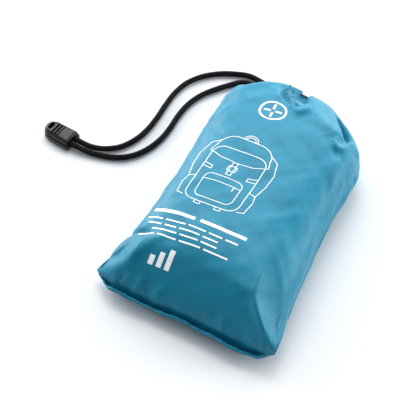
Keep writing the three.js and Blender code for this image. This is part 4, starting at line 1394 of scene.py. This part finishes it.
def stitch_tree():
    """Stitches along an edge path: elongated beads a pitch apart, each turned along the path."""
    tree = bpy.data.node_groups.new("seam_stitches", "GeometryNodeTree")
    face = tree.interface
    face.new_socket("Geometry", in_out="INPUT", socket_type="NodeSocketGeometry")
    for name, size in (("Stitch Pitch", 0.0026), ("Stitch Length", 0.0019), ("Thread Width", 0.0005), ("Wander", 0.12)):
        face.new_socket(name, in_out="INPUT", socket_type="NodeSocketFloat").default_value = size
    face.new_socket("Seed", in_out="INPUT", socket_type="NodeSocketInt").default_value = 7
    face.new_socket("Thread", in_out="INPUT", socket_type="NodeSocketMaterial")
    face.new_socket("Geometry", in_out="OUTPUT", socket_type="NodeSocketGeometry")
    given = add(tree, "NodeGroupInput").outputs
    path = add(tree, "GeometryNodeMeshToCurve", {"Mesh": given["Geometry"]}).outputs["Curve"]
    spaced = add(tree, "GeometryNodeResampleCurve", {"Curve": path, "Length": given["Stitch Pitch"]}, mode="LENGTH")
    tangent = add(tree, "GeometryNodeInputTangent").outputs[0]
    sway = add(
        tree, "FunctionNodeRandomValue", {"Min": (-1.0, -1.0, -1.0), "Max": (1.0, 1.0, 1.0), "Seed": given["Seed"]},
        data_type="FLOAT_VECTOR",
    ).outputs["Value"]
    small = add(tree, "ShaderNodeVectorMath", {0: sway, "Scale": given["Wander"]}, operation="SCALE").outputs[0]
    aim = add(tree, "ShaderNodeVectorMath", {0: tangent, 1: small}, operation="ADD").outputs[0]
    turned = add(tree, "FunctionNodeAlignRotationToVector", {"Vector": aim}, axis="Z").outputs[0]
    bead = add(tree, "GeometryNodeMeshUVSphere", {"Segments": 8, "Rings": 6, "Radius": 0.5}).outputs["Mesh"]
    size = add(
        tree, "ShaderNodeCombineXYZ", {0: given["Thread Width"], 1: given["Thread Width"], 2: given["Stitch Length"]}
    ).outputs[0]
    placed = add(
        tree, "GeometryNodeInstanceOnPoints",
        {"Points": spaced.outputs[0], "Instance": bead, "Rotation": turned, "Scale": size},
    ).outputs[0]
    real = add(tree, "GeometryNodeRealizeInstances", {0: placed}).outputs[0]
    painted = add(tree, "GeometryNodeSetMaterial", {"Geometry": real, "Material": given["Thread"]}).outputs[0]
    add(tree, "NodeGroupOutput", {0: painted})
    return tree


def stitched(name, path, tree, values):
    """A plain mesh of stitches along points in millimetres."""
    edges = bpy.data.meshes.new(name + "_path")
    edges.from_pydata((np.asarray(path) * MM).tolist(), [(i, i + 1) for i in range(len(path) - 1)], [])
    carrier = bpy.data.objects.new(name + "_path", edges)
    bpy.context.scene.collection.objects.link(carrier)
    maker = carrier.modifiers.new("stitches", "NODES")
    maker.node_group = tree
    for item in tree.interface.items_tree:
        if item.in_out == "INPUT" and item.name in values:
            maker[item.identifier] = values[item.name]
    evaluated = carrier.evaluated_get(bpy.context.evaluated_depsgraph_get())
    made = bpy.data.objects.new(name, bpy.data.meshes.new_from_object(evaluated))
    bpy.context.scene.collection.objects.link(made)
    bpy.data.objects.remove(carrier)
    made.data.polygons.foreach_set("use_smooth", [True] * len(made.data.polygons))
    return made


class PouchStitchesOperator(bpy.types.Operator):
    """Makes the stitches in the base seam"""

    bl_idname = "pouch.stitches"
    bl_label = "Seam Stitches"

    def execute(self, context):
        settings = context.scene.pouch_trim
        # the dark thread is partly painted shade: its stitches also stand for the shadow in the seam's furrow
        dark = spun_thread("Spun Polyester Thread", settings.thread_colour)
        outer = np.array(SEAM_PATHS["base"])
        tree = stitch_tree()
        values = {
            "Stitch Pitch": settings.stitch_pitch,
            "Stitch Length": settings.stitch_length,
            "Thread Width": settings.thread_width,
            "Wander": 0.15,
            "Seed": 7,
            "Thread": dark,
        }
        seam = stitched("base_seam_stitches", outer, tree, values)
        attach(seam, "root")
        return {"FINISHED"}


class PouchPanel(bpy.types.Panel):
    bl_idname = "VIEW3D_PT_pouch"
    bl_label = "Packed Drawstring Pouch"
    bl_space_type = "VIEW_3D"
    bl_region_type = "UI"
    bl_category = "Pouch"

    def draw(self, context):
        layout = self.layout
        for group, kinds in (
            ("pouch_stage", (PouchStageOperator,)),
            ("pouch_cord", (PouchDrawcordOperator,)),
            ("pouch_cloth", (PouchBundleOperator, PouchClothOperator)),
            ("pouch_trim", (PouchPrintOperator, PouchStitchesOperator)),
        ):
            box = layout.box()
            settings = getattr(context.scene, group)
            for name in settings.bl_rna.properties.keys():
                if name not in ("rna_type", "name"):
                    box.prop(settings, name)
            for kind in kinds:
                box.operator(kind.bl_idname)


GROUPS = (
    ("pouch_stage", PouchStageSettings),
    ("pouch_cord", PouchCordSettings),
    ("pouch_cloth", PouchClothSettings),
    ("pouch_trim", PouchTrimSettings),
)
CLASSES = (
    PouchStageSettings,
    PouchCordSettings,
    PouchClothSettings,
    PouchTrimSettings,
    PouchStageOperator,
    PouchDrawcordOperator,
    PouchBundleOperator,
    PouchClothOperator,
    PouchPrintOperator,
    PouchStitchesOperator,
    PouchPanel,
)


def register():
    for kind in CLASSES:
        bpy.utils.register_class(kind)
    for name, group in GROUPS:
        setattr(bpy.types.Scene, name, bpy.props.PointerProperty(type=group))


def unregister():
    for name, _ in GROUPS:
        delattr(bpy.types.Scene, name)
    for kind in reversed(CLASSES):
        bpy.utils.unregister_class(kind)


def main():
    register()
    bpy.ops.pouch.stage()
    bpy.ops.pouch.drawcord()
    bpy.ops.pouch.bundle()
    bpy.ops.pouch.cloth()
    bpy.ops.pouch.print()
    bpy.ops.pouch.stitches()


if __name__ == "__main__":
    main()
